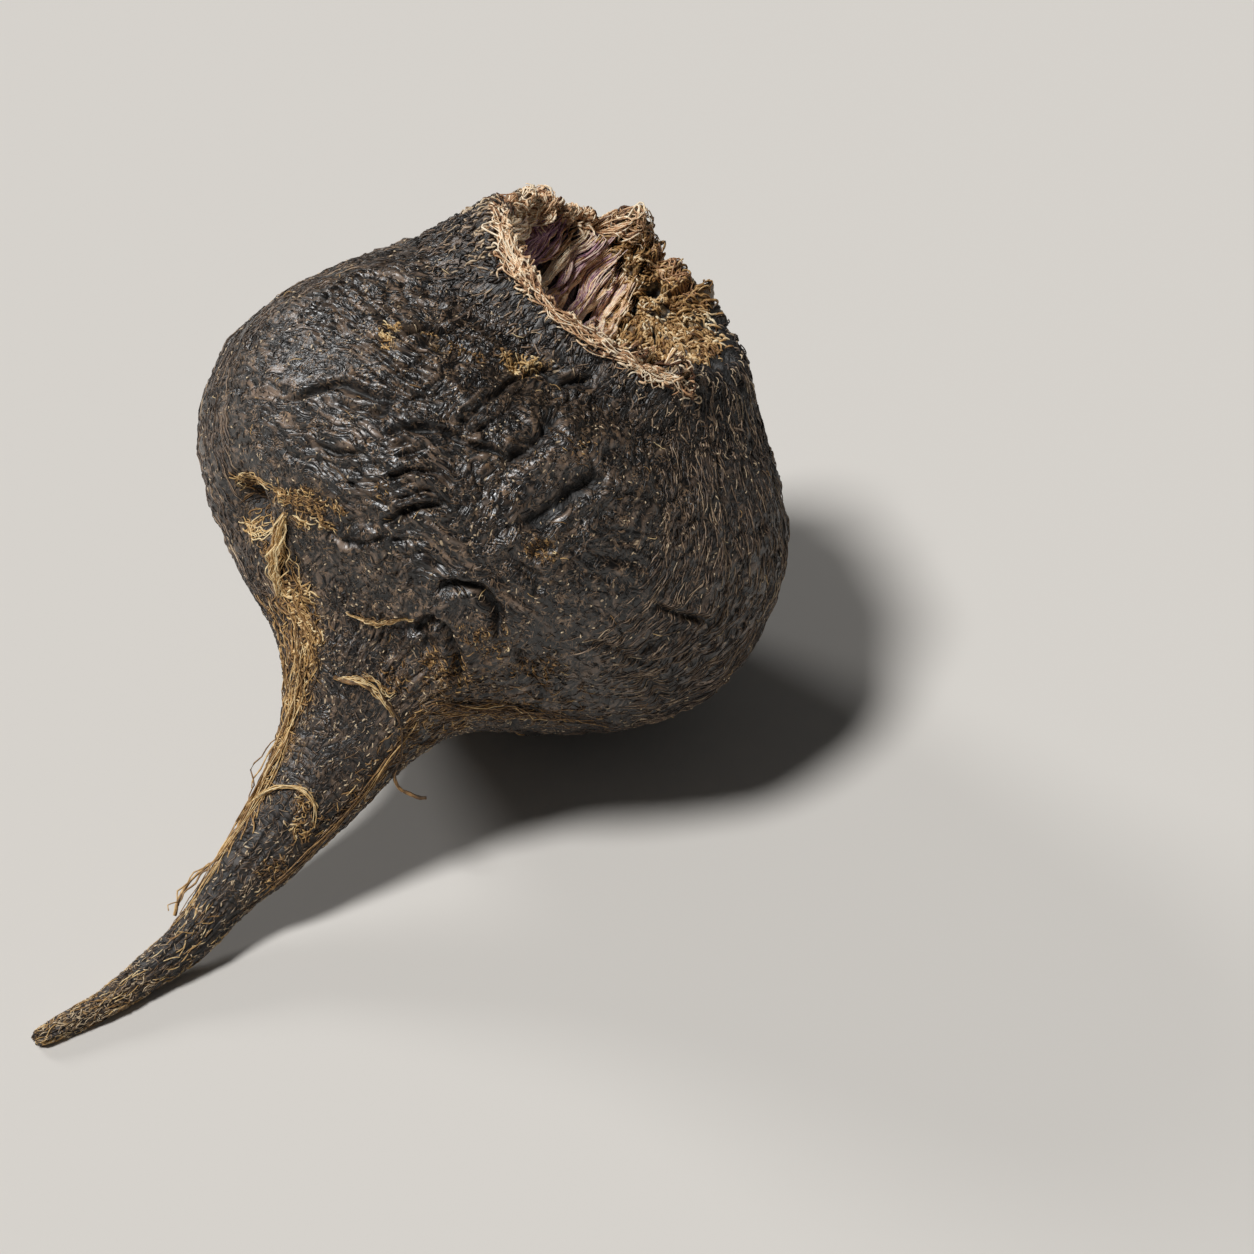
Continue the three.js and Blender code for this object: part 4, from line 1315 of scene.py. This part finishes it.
def makeSideRoots(material):
    # Each is a twist of strands round its route, uneven in thickness and finer towards its end.
    look = sideRoots
    rng = np.random.default_rng(look["seed"])
    steps = 70
    groups = []
    for route in look["routes"]:
        course = catmullRom(route, steps, True)
        course = course + 0.12 * np.stack([latticeNoise(course / 1.4, 200 + k) for k in range(3)], -1)
        heading = unit(np.gradient(course, axis=0))
        aside = unit(np.cross(heading, [0.3, 0.5, 0.8]))
        over = np.cross(heading, aside)
        t = np.linspace(0, 1, steps)
        slim = 0.45 + 0.55 * np.abs(np.cos(np.pi * t)) ** 1.5
        thick = look["thick"] * slim * (1 - 0.2 * t) * (1 + 0.4 * latticeNoise(course / 0.7, 205))
        for strand in range(look["strands"]):
            twist = 2 * np.pi * strand / look["strands"] + 9 * t
            twist = twist + 0.8 * latticeNoise(course / 1.1, 210 + strand)
            away = 0.55 * thick[:, None] * (np.cos(twist)[:, None] * aside + np.sin(twist)[:, None] * over)
            radius = 0.5 * thick * (1 + 0.4 * latticeNoise(course / 0.35, 220 + strand))
            groups.append(([course + away], [radius], [rng.normal(0.62, 0.26)]))
    tubes("sideRoots", groups, 7, material)


finish = {name: fibreFinish(name, *look) for name, look in fibreLooks.items()}
makeSkin(corkSkin())
print("stage: skin")
makeFelt(finish["corkFelt"])
makeHairs(finish["corkFelt"], finish["tornBast"])
makePatches(finish["tornBast"])
print("stage: felt and hairs")
makeCords(finish["stalkFibre"], finish["rimBast"])
makePith(finish["driedPith"])
makeRim(finish["rimBast"], finish["corkFelt"])
makeTorn("tornFibre", torn, finish["tornBast"])
makeTorn("rimStrands", rimStrands, finish["rimBast"])
makeSideRoots(finish["tornBast"])
print("stage: crown and torn fibre")

# The camera looks from the front, down by its elevation. Each lamp: name, where it stands, its strength
# and how many degrees wide it looks from the root.
studio = {
    "lens": 100.0,
    "sensor": 36.0,
    "elevation": 38.0,
    "distance": 0.300,
    "aim": (0.0167, 0.0045, 0.0116),
    "lamps": [("keyLight", (-0.42, -0.24, 0.87), 2.95, 14), ("sideLight", (-0.65, 0.6, 0.45), 0.95, 16)],
    "board": "#d4d0ca",
    "boardSize": 6,
    "air": "#ffffff",
    "horizon": 0.11,
    "overhead": 0.05,
}


def placeCamera():
    # Stands at its distance from the aim, over the front, and looks at it.
    camera = bpy.data.objects.new("camera", bpy.data.cameras.new("camera"))
    bpy.context.scene.collection.objects.link(camera)
    bpy.context.scene.camera = camera
    camera.data.lens = studio["lens"]
    camera.data.sensor_width = studio["sensor"]
    camera.data.clip_start = 0.01
    tilt = math.radians(studio["elevation"])
    aim = np.array(studio["aim"])
    camera.location = aim + studio["distance"] * np.array([0, -math.cos(tilt), math.sin(tilt)])
    camera.rotation_euler = (math.pi / 2 - tilt, 0, 0)


def softLight(name, direction, strength, degrees):
    # A far softbox, turned so that its light falls from its direction on to the root.
    lamp = bpy.data.lights.new(name, "SUN")
    lamp.energy = strength
    lamp.angle = math.radians(degrees)
    box = bpy.data.objects.new(name, lamp)
    bpy.context.scene.collection.objects.link(box)
    towards = Vector(direction).normalized()
    box.location = towards
    box.rotation_euler = towards.to_track_quat("Z", "Y").to_euler()


def paleFloor():
    # Matt pale board under everything, which is all the background there is.
    material, _, shader = newFinish("paleBoard")
    setInputs(shader, {"Base Color": srgb(studio["board"]), "Roughness": 0.9})
    bpy.ops.mesh.primitive_plane_add(size=studio["boardSize"])
    floor = bpy.context.object
    floor.name = "floor"
    floor.data.materials.append(material)


def paleWorld():
    # Faint even air: a little brighter near the horizon than overhead, by a smooth step of its height.
    world = bpy.data.worlds.new("studioAir")
    bpy.context.scene.world = world
    world.use_nodes = True
    world.node_tree.nodes.clear()
    add = functools.partial(addNode, world.node_tree)
    height = add("SeparateXYZ", {0: add("TexCoord", output="Generated")}, "Z")
    level = {0: height, 1: 0.08, 2: 0.5, 3: studio["horizon"], 4: studio["overhead"]}
    strength = add("MapRange", level, **smooth)
    air = add("Background", {"Color": srgb(studio["air"]), "Strength": strength})
    add("OutputWorld", {"Surface": air})


placeCamera()
paleFloor()
paleWorld()
for lamp in studio["lamps"]:
    softLight(*lamp)
bpy.context.scene.view_settings.view_transform = "Standard"
print("stage: studio")
